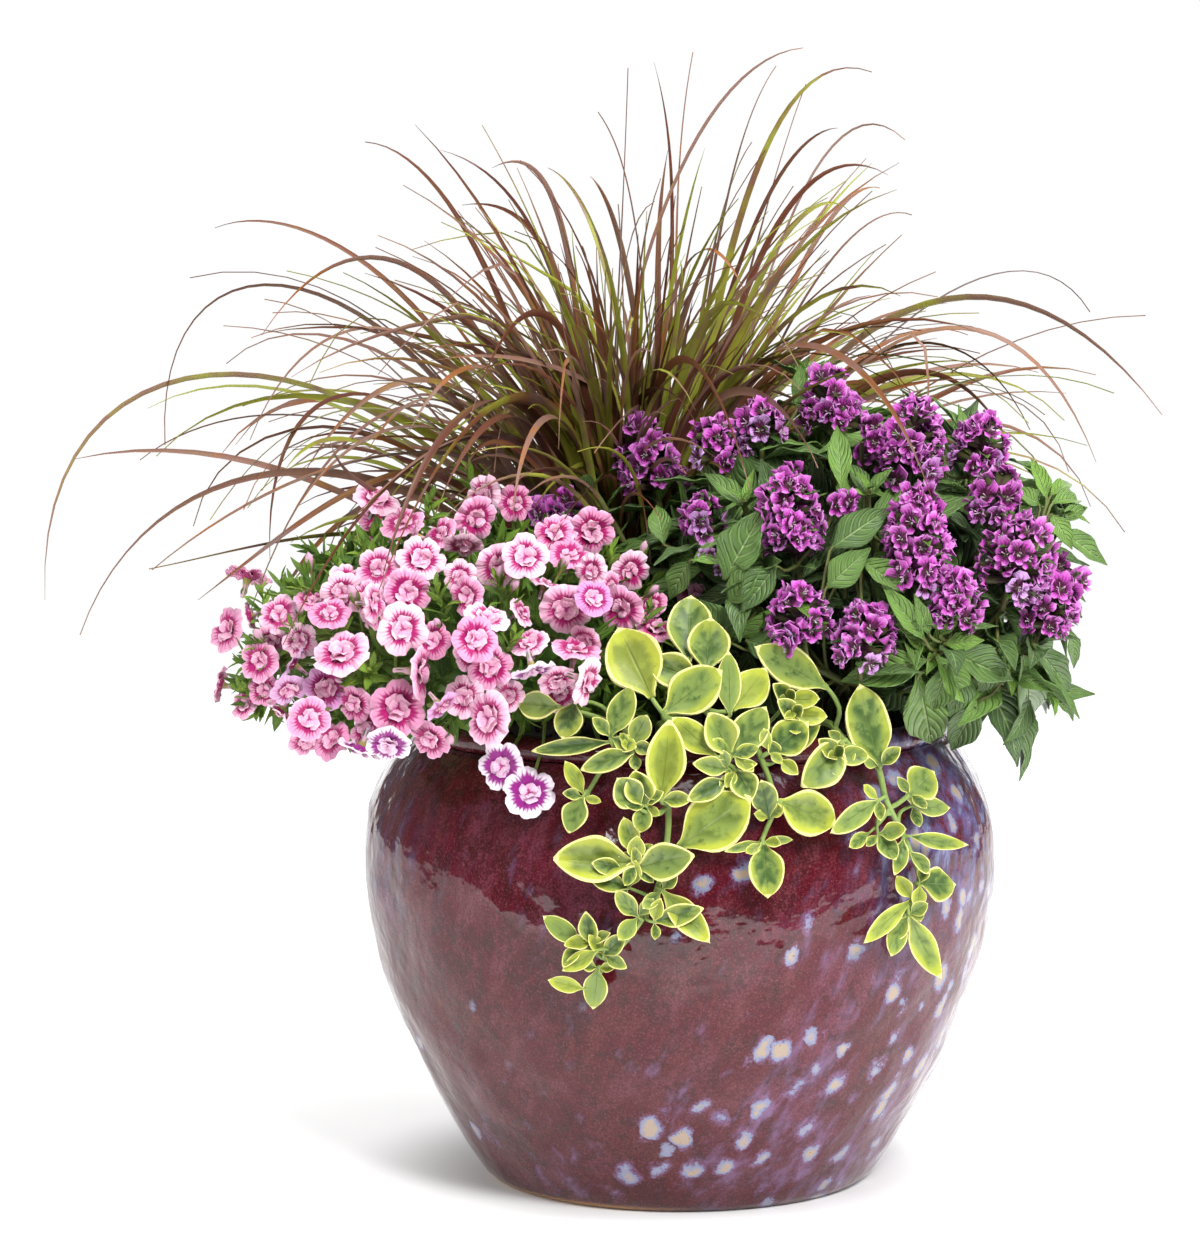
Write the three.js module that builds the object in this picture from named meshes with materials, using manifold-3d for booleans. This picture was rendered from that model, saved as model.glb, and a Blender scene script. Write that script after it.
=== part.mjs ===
// A mixed planter: a glazed belly pot of potting soil that holds a cuphea with purple flower heads,
// a double calibrachoa, a variegated trailing dew plant and a purple fountain grass.
// Millimetres, +Z up. The origin is the centre of the pot's foot, and the front faces -Y.
import * as THREE from "three";
import { mergeVertices } from "three/addons/utils/BufferGeometryUtils.js";
import Module from "manifold-3d";

const wasm = await Module();
wasm.setup();

// Driving dimensions
const POT = {
  height: 285,
  footRadius: 116,
  bellyRadius: 190,
  bellyHeight: 192,
  neckRadius: 161,
  neckHeight: 271,
  rimRadius: 165,
  rimWidth: 12,
  rimBevel: 4,
  wall: 10,
  floor: 14,
  sides: 28,
  stations: [26, 60, 100, 146, 192, 224, 250],
};
const DRAIN = { count: 3, radius: 7, circle: 60 };
const SOIL = { edgeHeight: 258, crownHeight: 266, gap: 0.4, crumb: 1.2 };
const INNER_STATIONS = [70, 150, 235];
const SOCKET = { depth: 24, gap: 0.4 };
const CLEARANCE = 0.35;
const CUPHEA = {
  stemRadius: 1.9,
  rootRadius: 3.2,
  leafLength: 54,
  leafWidth: 19,
  leafThickness: 1.1,
  floretRadius: 7.4,
  floretLength: 13,
};
const CALIBRACHOA = {
  bloomWidth: 28,
  tubeLength: 15,
  stalkRadius: 1.3,
  leafLength: 36,
  leafWidth: 7.5,
  leafThickness: 0.9,
  leaves: 25,
  rootRadius: 7,
};
// The calibrachoa's leafy heart: an ellipsoid that is cut level above the rim
const HEART = {
  centre: [-108, -36, 318],
  half: [92, 74, 52],
  bottom: 289,
  root: [-66, -34],
  leafSeat: 0.86,
};
const DEW_PLANT = { rootRadius: 2.6, tipRadius: 1.3, leafThickness: 1.8 };
const GRASS = {
  crown: new THREE.Vector3(-30, 62, 262),
  crownRadius: 34,
  crownRise: 30,
  rootRadius: 20,
  bladeThickness: 0.9,
  ruleBlades: 34,
};

// The planter is laid out as it shows from its front. A place is given in points of that picture,
// x to the right and y down, and a point is 0.602 mm wide at the pot's axis.
const EYE = new THREE.Vector3(-48, -3000, 707);
const AIM = new THREE.Vector3(-48, 0, 337);
const PICTURE = { centreX: 600, centreY: 619.5, scale: 0.602 };

// The outer forms of the two mounds: centre and half sizes
const CUPHEA_MOUND = { centre: [112, -18, 360], half: [152, 142, 118] };
const CALIBRACHOA_MOUND = { centre: [-128, -48, 322], half: [152, 128, 98] };

// Cuphea flower heads by plant stem: x, y, length, width and lean to the right in degrees
const CUPHEA_STEMS = [
  { root: [16, 4], heads: [[646, 456, 84, 70, -8], [543, 518, 34, 60, -20]], shoots: [[590, 486]] },
  { root: [52, -2], heads: [[717, 444, 50, 62, -5], [760, 424, 36, 60, 0]], shoots: [[742, 500]] },
  { root: [58, -52], heads: [[790, 512, 104, 70, -4], [700, 516, 30, 50, -10]], shoots: [[742, 560]] },
  {
    root: [86, 40],
    heads: [[831, 402, 54, 72, -4], [912, 440, 84, 78, 4]],
    shoots: [[804, 372]],
    farShoots: [[0.1, 0.8, 0.55], [0.35, 0.75, 0.1]],
  },
  { root: [88, -62], heads: [[798, 614, 60, 68, -8], [864, 632, 60, 68, 4]], shoots: [[936, 650]] },
  { root: [124, -14], heads: [[918, 540, 118, 76, 0], [958, 602, 58, 56, 10]], shoots: [[868, 490]] },
  {
    root: [122, 30],
    heads: [[980, 444, 60, 62, 8], [997, 499, 50, 66, 12]],
    shoots: [[1060, 506]],
    farShoots: [[0.75, 0.6, 0.25]],
  },
  {
    root: [112, -52],
    heads: [[1020, 556, 74, 80, 12], [1054, 606, 66, 58, 18]],
    shoots: [[1010, 672], [1050, 690]],
  },
];

// Double calibrachoa blooms by cluster: x, y, width, and how far each faces right and up
const BLOOM_CLUSTERS = [
  [[402, 522, 43, -0.3, 0.5], [421, 558, 46, -0.1, 0.25], [378, 568, 42, -0.5, 0.5]],
  [[483, 495, 40, 0.1, 0.6], [476, 519, 45, 0.1, 0.3], [463, 546, 38, -0.1, 0.2]],
  [[498, 566, 44, -0.1, 0.3], [526, 557, 44, 0.2, 0.4], [460, 576, 32, -0.4, 0.3]],
  [[554, 533, 38, 0, 0.7], [592, 531, 46, 0.3, 0.3], [569, 554, 42, 0, 0.6]],
  [[591, 571, 34, 0, 0.85], [631, 571, 40, 0.2, 0.75], [621, 609, 44, 0.2, 0.2]],
  [[566, 609, 50, -0.1, 0.1], [594, 598, 36, 0.2, 0.3]],
  [[407, 592, 44, -0.1, 0.6], [376, 603, 38, -0.2, 0.8]],
  [[342, 593, 40, -0.2, 0.8], [331, 613, 40, -0.2, 0.75]],
  [[279, 614, 40, -0.4, 0.5], [249, 616, 26, -0.85, 0.3]],
  [[467, 596, 38, 0, 0.75], [488, 616, 44, 0.1, 0.5], [477, 639, 44, -0.1, 0.2]],
  [[404, 629, 50, 0.1, 0.35], [422, 672, 52, 0, 0.1], [398, 708, 52, 0, -0.1]],
  [[343, 652, 54, -0.2, 0.3], [292, 663, 34, -0.6, -0.1], [326, 688, 42, -0.2, -0.1]],
  [[259, 661, 40, -0.5, 0.1], [219, 684, 36, -0.92, 0], [244, 704, 30, -0.7, -0.4]],
  [[290, 690, 36, -0.5, 0], [279, 712, 32, -0.4, -0.3]],
  [[529, 642, 38, 0.3, 0.1], [576, 648, 48, 0.1, 0], [557, 681, 36, 0.2, -0.2]],
  [[490, 667, 42, 0.1, 0], [534, 672, 42, 0.1, -0.05], [464, 697, 40, 0, -0.1]],
  [[589, 681, 48, 0.1, -0.1], [656, 628, 40, 0.3, 0.1], [695, 591, 44, 0.4, 0.4]],
  [[488, 718, 54, 0.1, -0.2], [443, 707, 36, 0.75, 0], [430, 740, 40, 0.1, -0.3]],
  [[313, 718, 42, -0.3, -0.3], [331, 740, 40, -0.5, -0.5]],
  [[361, 750, 44, -0.2, -0.5], [390, 744, 42, 0, -0.4]],
  [[501, 766, 46, 0, 0], [530, 790, 48, 0.1, 0]],
];

// Clusters on the calibrachoa's far side: directions from the middle of its mound
const FAR_CLUSTERS = [
  [[-0.55, 0.75, 0.35], [-0.3, 0.85, 0.15], [-0.35, 0.6, 0.7]],
  [[-0.95, 0.3, 0.1], [-0.85, 0.25, 0.45], [-0.75, 0.6, -0.1]],
  [[0.15, 0.35, 0.92], [-0.35, 0.1, 0.95], [0, 0.75, 0.55]],
];

// Dew plant trails: the stem's points, and each leaf's base, tip and width
const TRAILS = [
  {
    root: [-14, -122],
    stem: [[668, 726], [690, 700], [700, 676]],
    leaves: [
      [652, 698, 619, 629, 54], [688, 662, 691, 594, 42], [706, 672, 710, 621, 40],
      [700, 680, 649, 662, 32], [664, 713, 722, 671, 44], [730, 716, 727, 653, 24],
      [733, 710, 766, 669, 36],
    ],
  },
  {
    root: [18, -126],
    stem: [[716, 740], [724, 752], [728, 766]],
    leaves: [
      [730, 756, 709, 713, 32], [715, 756, 673, 717, 28], [733, 755, 766, 707, 34],
      [727, 770, 692, 764, 18], [727, 780, 688, 800, 20], [736, 770, 752, 800, 26],
    ],
  },
  {
    root: [-40, -112],
    stem: [[628, 742], [606, 764], [588, 792]],
    leaves: [
      [610, 737, 632, 686, 26], [631, 746, 649, 713, 22], [575, 702, 562, 737, 28],
      [560, 707, 517, 704, 26], [610, 742, 533, 752, 16], [634, 752, 581, 770, 20],
      [584, 794, 565, 761, 16], [583, 797, 569, 833, 24],
    ],
  },
  {
    root: [0, -132],
    stem: [[664, 752], [668, 796], [668, 832], [661, 875], [652, 902], [631, 935], [607, 962], [589, 992]],
    leaves: [
      [661, 800, 669, 720, 36], [640, 809, 616, 777, 30], [646, 806, 634, 772, 28],
      [645, 806, 640, 832, 18], [679, 847, 750, 797, 56], [635, 863, 554, 860, 42],
      [635, 855, 623, 816, 20], [637, 868, 697, 855, 34], [622, 869, 592, 863, 16],
      [629, 888, 589, 876, 18], [638, 917, 616, 891, 18], [662, 890, 710, 945, 26],
      [654, 922, 704, 908, 20], [581, 944, 544, 916, 20], [592, 944, 586, 910, 18],
      [604, 955, 625, 936, 18], [598, 950, 562, 971, 17], [584, 989, 548, 980, 15],
      [598, 968, 592, 1010, 24],
    ],
  },
  {
    root: [46, -128],
    stem: [[757, 746], [770, 782], [775, 806], [766, 830], [761, 843]],
    leaves: [
      [769, 752, 808, 724, 36], [779, 759, 821, 719, 20], [769, 818, 760, 777, 26],
      [778, 801, 836, 824, 42], [763, 842, 769, 897, 34], [760, 842, 727, 851, 9],
      [766, 840, 793, 840, 8],
    ],
  },
  {
    root: [74, -120],
    stem: [[846, 742], [876, 764], [886, 800], [901, 830], [910, 851], [919, 878], [913, 905]],
    leaves: [
      [827, 688, 752, 648, 38], [880, 766, 856, 684, 48], [842, 742, 807, 786, 36],
      [910, 794, 934, 772, 38], [912, 806, 954, 807, 19], [879, 800, 826, 834, 22],
      [869, 833, 849, 847, 14], [878, 834, 896, 860, 20], [903, 839, 897, 873, 15],
      [909, 836, 962, 847, 16], [910, 852, 930, 873, 14], [920, 884, 957, 884, 34],
      [912, 899, 861, 944, 18], [904, 917, 890, 957, 20], [909, 915, 936, 976, 26],
    ],
  },
];

// The grass's outlying blades: two control points, the tip, how far the tip lies forward, and the width
const LONG_BLADES = [
  [470, 250, 150, 170, 165, 445, 40, 6], [480, 330, 30, 250, 45, 600, 60, 5],
  [480, 420, 160, 400, 80, 635, 110, 6], [590, 360, 320, 430, 152, 570, 140, 10],
  [480, 380, 240, 380, 140, 460, 30, 4], [560, 420, 470, 150, 365, 142, 10, 7],
  [600, 380, 560, 180, 440, 150, -30, 4], [620, 420, 560, 260, 482, 125, 20, 3],
  [610, 480, 622, 250, 628, 68, 20, 6], [590, 360, 680, 60, 803, 48, 10, 7],
  [690, 420, 740, 20, 872, 72, -20, 5], [700, 480, 760, 200, 806, 84, -30, 5],
  [720, 440, 800, 40, 905, 140, 10, 6], [700, 360, 780, 110, 888, 175, 40, 5],
  [690, 480, 660, 220, 693, 52, 0, 4], [780, 380, 1010, 180, 1090, 312, -20, 6],
  [760, 330, 980, 170, 1162, 415, 30, 8], [790, 330, 1000, 210, 1096, 462, 60, 6],
  [680, 300, 850, 250, 932, 498, 230, 7], [630, 280, 700, 300, 750, 490, 240, 6],
  [660, 330, 770, 350, 818, 468, 190, 7], [600, 290, 470, 350, 379, 590, 250, 10],
  [580, 300, 440, 350, 383, 575, 220, 9], [600, 340, 520, 380, 513, 520, 200, 6],
  [590, 330, 400, 390, 283, 645, 230, 8], [500, 270, 330, 380, 250, 612, 120, 7],
  [500, 330, 330, 500, 198, 600, 110, 6], [800, 360, 940, 300, 1012, 450, 60, 6],
  [800, 300, 960, 280, 1030, 430, 40, 5], [480, 350, 260, 300, 270, 560, 60, 6],
];

// A row of repeatable numbers from 0 to 1
function makeDraw(seed) {
  let state = seed;
  return () => {
    state = (state * 1664525 + 1013904223) % 4294967296;
    return state / 4294967296;
  };
}

const mix = (a, b, t) => a + (b - a) * t;
const point = (x, y, z) => new THREE.Vector3(x, y, z);
const fromList = (list) => new THREE.Vector3(...list);
const UP = point(0, 0, 1);
const FORWARD = AIM.clone().sub(EYE).normalize();
const RISE = point(1, 0, 0).cross(FORWARD);
const TO_EYE = FORWARD.clone().negate();
const SIGHT_STEP = PICTURE.scale / AIM.distanceTo(EYE);

// The direction from the eye through a point of the picture
function sight(x, y) {
  return FORWARD.clone()
    .addScaledVector(point(1, 0, 0), (x - PICTURE.centreX) * SIGHT_STEP)
    .addScaledVector(RISE, (PICTURE.centreY - y) * SIGHT_STEP);
}

// The point of the picture at a given depth behind the pot's axis
function atDepth(x, y, depth) {
  const ray = sight(x, y);
  return EYE.clone().addScaledVector(ray, (depth - EYE.y) / ray.y);
}

// Where a line of sight meets a mound, or passes it nearest, and the mound's normal there
function onMound(x, y, mound, share = 1) {
  const centre = fromList(mound.centre);
  const half = fromList(mound.half).multiplyScalar(share);
  const ray = sight(x, y);
  const from = EYE.clone().sub(centre).divide(half);
  const along = ray.clone().divide(half);
  const a = along.dot(along);
  const b = from.dot(along);
  const root = b * b - a * (from.dot(from) - 1);
  const place = EYE.clone().addScaledVector(ray, (-b - Math.sqrt(Math.max(root, 0))) / a);
  const normal = place.clone().sub(centre).divide(half).divide(half).normalize();
  return { place, normal };
}

// A place on a mound in a direction from its middle
function onFarSide(direction, mound, share = 1) {
  const half = fromList(mound.half).multiplyScalar(share);
  const out = fromList(direction).normalize();
  const place = out.clone().multiply(half).add(fromList(mound.centre));
  return { place, normal: out.clone().divide(half).normalize() };
}

// Potter's profile: the outer radius at a height
function potRadius(z) {
  if (z <= POT.bellyHeight) {
    const t = z / POT.bellyHeight;
    const bulge = 1 - Math.pow(1 - t, 1.75);
    return mix(POT.footRadius, POT.bellyRadius, bulge);
  }
  const t = Math.min((z - POT.bellyHeight) / (POT.neckHeight - POT.bellyHeight), 1);
  return mix(POT.bellyRadius, POT.neckRadius, Math.pow(t, 2.6));
}

// The drape that the trailing stems follow: over the rim, and down just clear of the wall
function drapeRadius(z, clear) {
  const shoulder = 250;
  const top = 402;
  if (z < shoulder) return potRadius(z) + clear;
  const t = Math.min((z - shoulder) / (top - shoulder), 1);
  return (potRadius(shoulder) + 6) * Math.sqrt(1 - t * t) + clear;
}

// Where a line of sight first meets that drape
function onDrape(x, y, clear) {
  const ray = sight(x, y);
  const place = atDepth(x, y, -320);
  while (Math.hypot(place.x, place.y) > drapeRadius(place.z, clear) && place.y < 60) {
    place.addScaledVector(ray, 1);
  }
  return place;
}

// Triangles between two rings of unlike sizes, stepping round both at an even pace
function zip(startA, sizeA, startB, sizeB) {
  const faces = [];
  let [i, j] = [0, 0];
  const stepsA = sizeA > 1 ? sizeA : 0;
  const stepsB = sizeB > 1 ? sizeB : 0;
  while (i < stepsA || j < stepsB) {
    const a = startA + (i % sizeA);
    const b = startB + (j % sizeB);
    const isStepA = i < stepsA && (j >= stepsB || (i + 0.5) / stepsA <= (j + 0.5) / stepsB);
    if (isStepA) faces.push([a, b, startA + (++i % sizeA)]);
    else faces.push([a, b, startB + (++j % sizeB)]);
  }
  return faces;
}

// A closed skin over rings of points. A ring of one point is a tip, and an open end is capped.
// Rings of one size are split into triangles alike on both faces of a blade.
function skin(rings) {
  const points = rings.flat();
  const starts = rings.map((_, i) => rings.slice(0, i).reduce((sum, ring) => sum + ring.length, 0));
  const faces = [];
  for (let i = 0; i + 1 < rings.length; i++) {
    const [a, b] = [starts[i], starts[i + 1]];
    const sides = rings[i].length;
    if (sides !== rings[i + 1].length) {
      faces.push(...zip(a, sides, b, rings[i + 1].length));
      continue;
    }
    for (let j = 0; j < sides; j++) {
      const k = (j + 1) % sides;
      if (j < sides / 2) faces.push([a + j, b + k, a + k], [a + j, b + j, b + k]);
      else faces.push([a + j, b + j, a + k], [a + k, b + j, b + k]);
    }
  }
  const last = rings.length - 1;
  for (let j = 1; j + 1 < rings[0].length; j++) faces.push([0, j, j + 1]);
  for (let j = 1; j + 1 < rings[last].length; j++) {
    faces.push([starts[last], starts[last] + j + 1, starts[last] + j]);
  }
  return { points, faces };
}

// Each point of a skin moved out, so that every face beside it moves out by the growth
function grow({ points, faces }, growth) {
  const triangle = new THREE.Triangle();
  const facings = faces.map(([a, b, c]) =>
    triangle.set(points[a], points[b], points[c]).getNormal(new THREE.Vector3()),
  );
  return points.map((p, i) => {
    const beside = facings.filter((_, face) => faces[face].includes(i));
    const out = beside.reduce((sum, facing) => sum.add(facing), point(0, 0, 0)).normalize();
    const least = Math.min(...beside.map((facing) => facing.dot(out)));
    return p.clone().addScaledVector(out, growth / Math.max(least, 0.4));
  });
}

// The skin as a solid, grown outwards by an allowance
function toSolid(made, growth = 0) {
  const points = growth ? grow(made, growth) : made.points;
  const geometry = new THREE.BufferGeometry().setFromPoints(points);
  geometry.setIndex(made.faces.flat());
  return solidOf(geometry);
}

// A closed geometry as a manifold solid
function solidOf(geometry) {
  const bare = geometry.clone();
  bare.deleteAttribute("normal");
  bare.deleteAttribute("uv");
  const merged = mergeVertices(bare, 1e-4);
  const index = merged.index.array;
  const kept = [];
  for (let i = 0; i < index.length; i += 3) {
    const [a, b, c] = [index[i], index[i + 1], index[i + 2]];
    if (a !== b && b !== c && c !== a) kept.push(a, b, c);
  }
  return new wasm.Manifold(
    new wasm.Mesh({
      numProp: 3,
      vertProperties: new Float32Array(merged.attributes.position.array),
      triVerts: new Uint32Array(kept),
    }),
  );
}

// A geometry that stands along Y, such as a lathe or a cylinder, stood up along Z
const upright = (geometry) => geometry.rotateX(Math.PI / 2);

function post(x, y, low, high, radius, sides = 10) {
  const geometry = upright(new THREE.CylinderGeometry(radius, radius, high - low, sides));
  return solidOf(geometry.translate(x, y, (low + high) / 2));
}

// Across-and-up directions for a section that travels along a tangent
function section(tangent, facing) {
  const side = tangent.clone().cross(facing).normalize();
  const normal = side.clone().cross(tangent).normalize();
  return { side, normal };
}

// Sections that travel along tangents without twisting, from a first normal
function travel(tangents, firstNormal) {
  let normal = firstNormal.clone().projectOnPlane(tangents[0]).normalize();
  return tangents.map((tangent, i) => {
    const turn = new THREE.Quaternion().setFromUnitVectors(tangents[Math.max(i - 1, 0)], tangent);
    normal = normal.clone().applyQuaternion(turn);
    return { side: tangent.clone().cross(normal), normal };
  });
}

// A stem through points, tapering from one radius to another, on a straight foot if it has a root
function stemSkin(points, startRadius, endRadius, { sides = 3, steps = 4, foot = null } = {}) {
  const curve = new THREE.CatmullRomCurve3(points, false, "centripetal");
  const shares = Array.from({ length: steps + 1 }, (_, i) => i / steps);
  const middles = shares.map((t) => curve.getPoint(t));
  const tangents = shares.map((t) => curve.getTangent(t));
  const radii = shares.map((t) => mix(startRadius, endRadius, t));
  if (foot) {
    tangents[0] = UP.clone();
    middles.unshift(foot);
    tangents.unshift(UP.clone());
    radii.unshift(startRadius);
  }
  const firstNormal = Math.abs(tangents[0].z) > 0.9 ? point(0, -1, 0) : UP;
  const sections = travel(tangents, firstNormal);
  const rings = middles.map((middle, i) =>
    Array.from({ length: sides }, (_, j) => {
      const turn = (2 * Math.PI * j) / sides;
      return middle
        .clone()
        .addScaledVector(sections[i].side, radii[i] * Math.cos(turn))
        .addScaledVector(sections[i].normal, radii[i] * Math.sin(turn));
    }),
  );
  return skin(rings);
}

// Points along the middle of a stem that has the same points and steps
function stemMiddle(points, steps) {
  const stations = new THREE.CatmullRomCurve3(points, false, "centripetal").getPoints(steps);
  return (t) => {
    const i = Math.min(Math.floor(t * steps), steps - 1);
    return stations[i].clone().lerp(stations[i + 1], t * steps - i);
  };
}

// A keeled leaf: from its root, past its base, to its tip, arched along the rib
function leafSkin({ root, base, tip, width, thickness, facing, arch = 0.12, shape }) {
  const run = tip.clone().sub(base);
  const along = run.clone().normalize();
  const { side, normal } = section(along, facing);
  const hasPetiole = root && root.distanceTo(base) > 9;
  const stations = hasPetiole ? [[0, 0.16], ...shape] : shape;
  const rings = [[root ?? base]];
  for (const [t, share] of stations) {
    const half = (width / 2) * share;
    const rise = arch * run.length() * (4 * t * (1 - t));
    const rib = base.clone().addScaledVector(run, t).addScaledVector(normal, rise);
    const turn = new THREE.Quaternion();
    if (t === 0) turn.setFromUnitVectors(along, base.clone().sub(root).normalize().add(along).normalize());
    const spokes = [[side, -half], [normal, -thickness], [side, half]];
    rings.push(
      spokes.map(([way, reach]) => way.clone().multiplyScalar(reach).applyQuaternion(turn).add(rib)),
    );
  }
  rings.push([tip]);
  return skin(rings);
}

// Leaf outlines: how far along each station lies, and its share of the full width
const LANCE = [[0.2, 0.7], [0.5, 1], [0.78, 0.55]];
const SHORT_LANCE = [[0.35, 1], [0.7, 0.7]];
const SHORT_SPOON = [[0.4, 0.9], [0.76, 0.85]];
const SPOON = [[0.25, 0.75], [0.58, 1], [0.85, 0.66]];

// Everything placed so far, by node, so that later pieces are bent clear of it
const placed = [];
const parts = new Map();

function place(node, solid, isCore = false) {
  placed.push({ node, solid, isCore, box: solid.boundingBox() });
  if (!parts.has(node)) parts.set(node, []);
  parts.get(node).push(solid);
}

function boxesMeet(a, b) {
  return [0, 1, 2].every((i) => a.min[i] <= b.max[i] && b.min[i] <= a.max[i]);
}

// How much of a solid lies inside the placed ones that a test picks
function crossing(solid, picks) {
  const box = solid.boundingBox();
  return placed
    .filter((other) => boxesMeet(box, other.box) && picks(other))
    .reduce((sum, other) => sum + solid.intersect(other.solid).volume(), 0);
}

// Places a piece in the way that is clear of other nodes and crosses its own node's pieces least.
// A piece that must stay takes the way that crosses least, and any other is left out if none is clear.
function placeBest(node, ways, { mustStay = false, ignored = [] } = {}) {
  let best = null;
  for (const [choice, make] of ways.entries()) {
    const made = make();
    const solid = toSolid(made);
    const isForeign = (other) => other.node !== node && !ignored.includes(other.node);
    const outside = crossing(toSolid(made, CLEARANCE), isForeign) + crossing(solid, isForeign);
    const inside = crossing(solid, (other) => other.node === node && !other.isCore);
    const isClear = outside < 1e-3;
    const cost = isClear ? inside : 1e6 * (1 + outside);
    if (!best || cost < best.cost) best = { choice, made, solid, cost, isClear };
    if (cost < 0.3) break;
  }
  if (!best.isClear && !mustStay) return null;
  place(node, best.solid);
  return best;
}

// All solids of a node as one body, without loose scraps and sealed hollows
function fuse(node) {
  const whole = parts.get(node).reduce((sum, solid) => sum.add(solid));
  return oneBody(whole);
}

function oneBody(solid) {
  return solid.decompose().reduce((best, body) => (body.volume() > best.volume() ? body : best));
}

// The heart and its leaves, with a plain hole for each flower stalk that stands in it
function cutHeart() {
  const whole = parts.get("calibrachoa_foliage").reduce((sum, solid) => sum.add(solid));
  return oneBody(stalkHoles.reduce((rest, hole) => rest.subtract(hole), whole));
}

const group = new THREE.Group();

function addMesh(name, solid, material) {
  const { numProp, vertProperties, triVerts, numVert } = solid.getMesh();
  const positions = new Float32Array(numVert * 3);
  for (let i = 0; i < numVert; i++) {
    positions.set(vertProperties.subarray(i * numProp, i * numProp + 3), i * 3);
  }
  const geometry = new THREE.BufferGeometry();
  geometry.setAttribute("position", new THREE.BufferAttribute(positions, 3));
  geometry.setIndex(new THREE.BufferAttribute(triVerts, 1));
  const flat = geometry.toNonIndexed();
  flat.computeVertexNormals();
  const mesh = new THREE.Mesh(flat, material);
  mesh.name = name;
  group.add(mesh);
}

const finish = (color, roughness) => new THREE.MeshStandardMaterial({ color, roughness, metalness: 0 });
const MATERIALS = {
  glaze: finish(0x6b2136, 0.15),
  soil: finish(0x2a1d14, 0.95),
  cupheaLeaf: finish(0x3f6b33, 0.4),
  cupheaFlower: finish(0xb02fb5, 0.6),
  calibrachoaLeaf: finish(0x5f8f35, 0.5),
  calibrachoaFlower: finish(0xe9a3cf, 0.6),
  dewPlant: finish(0x9dbb45, 0.35),
  grass: finish(0x7d5438, 0.5),
};

// Pot: turned outside and inside, with a rolled rim, a flat foot and three drain holes
function makePot() {
  const bevel = POT.rimBevel;
  const outer = [[0, 0], [POT.footRadius - bevel, 0], [POT.footRadius, bevel]];
  for (const z of POT.stations) outer.push([potRadius(z), z]);
  outer.push([POT.neckRadius, POT.neckHeight], [POT.rimRadius, POT.neckHeight + bevel]);
  outer.push([POT.rimRadius, POT.height - bevel], [POT.rimRadius - bevel, POT.height]);
  outer.push([POT.rimRadius - POT.rimWidth, POT.height], [POT.neckRadius - POT.wall, POT.height - bevel]);
  const inner = INNER_STATIONS.map((z) => [potRadius(z) - POT.wall, z]).reverse();
  inner.push([potRadius(POT.floor) - POT.wall - 8, POT.floor], [0, POT.floor]);
  const profile = [...outer, ...inner].map(([x, y]) => new THREE.Vector2(x, y));
  let pot = solidOf(upright(new THREE.LatheGeometry(profile, POT.sides)));
  for (let i = 0; i < DRAIN.count; i++) {
    const turn = (2 * Math.PI * i) / DRAIN.count;
    const [x, y] = [DRAIN.circle * Math.cos(turn), DRAIN.circle * Math.sin(turn)];
    pot = pot.subtract(post(x, y, -2, POT.floor + 2, DRAIN.radius, 12));
  }
  return pot;
}

// Soil: fills the pot to just under the neck, with a crumbly, slightly domed top
function makeSoil() {
  const fit = (z) => [potRadius(z) - POT.wall - SOIL.gap - 0.6, z];
  const side = INNER_STATIONS.map(fit);
  const low = POT.floor + SOIL.gap;
  const profile = [[0, low], [potRadius(low) - POT.wall - 10, low], ...side];
  profile.push([fit(SOIL.edgeHeight)[0] - 1, SOIL.edgeHeight]);
  const edge = profile[profile.length - 1][0];
  for (const share of [0.62, 0]) {
    profile.push([edge * share, mix(SOIL.crownHeight, SOIL.edgeHeight, share * share)]);
  }
  const points = profile.map(([x, y]) => new THREE.Vector2(x, y));
  const geometry = upright(new THREE.LatheGeometry(points, POT.sides));
  const { position } = geometry.attributes;
  for (let i = 0; i < position.count; i++) {
    const [x, y, z] = [position.getX(i), position.getY(i), position.getZ(i)];
    const onTop = z > SOIL.edgeHeight + 0.5 && Math.hypot(x, y) > 1;
    const crumb = Math.sin(x * 0.31) * Math.cos(y * 0.27) + Math.sin(x * 0.11 + y * 0.17);
    if (onTop) position.setZ(i, z + SOIL.crumb * crumb);
  }
  return solidOf(geometry);
}

const sockets = [];
const stalkHoles = [];

// A root that stands in a plain hole in the soil
function addSocket(x, y, radius) {
  const bottom = SOIL.edgeHeight - SOCKET.depth;
  const opening = (radius + SOCKET.gap) / Math.cos(Math.PI / 6);
  sockets.push(post(x, y, bottom - SOCKET.gap, POT.height, opening, 6));
  return point(x, y, bottom);
}

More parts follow.
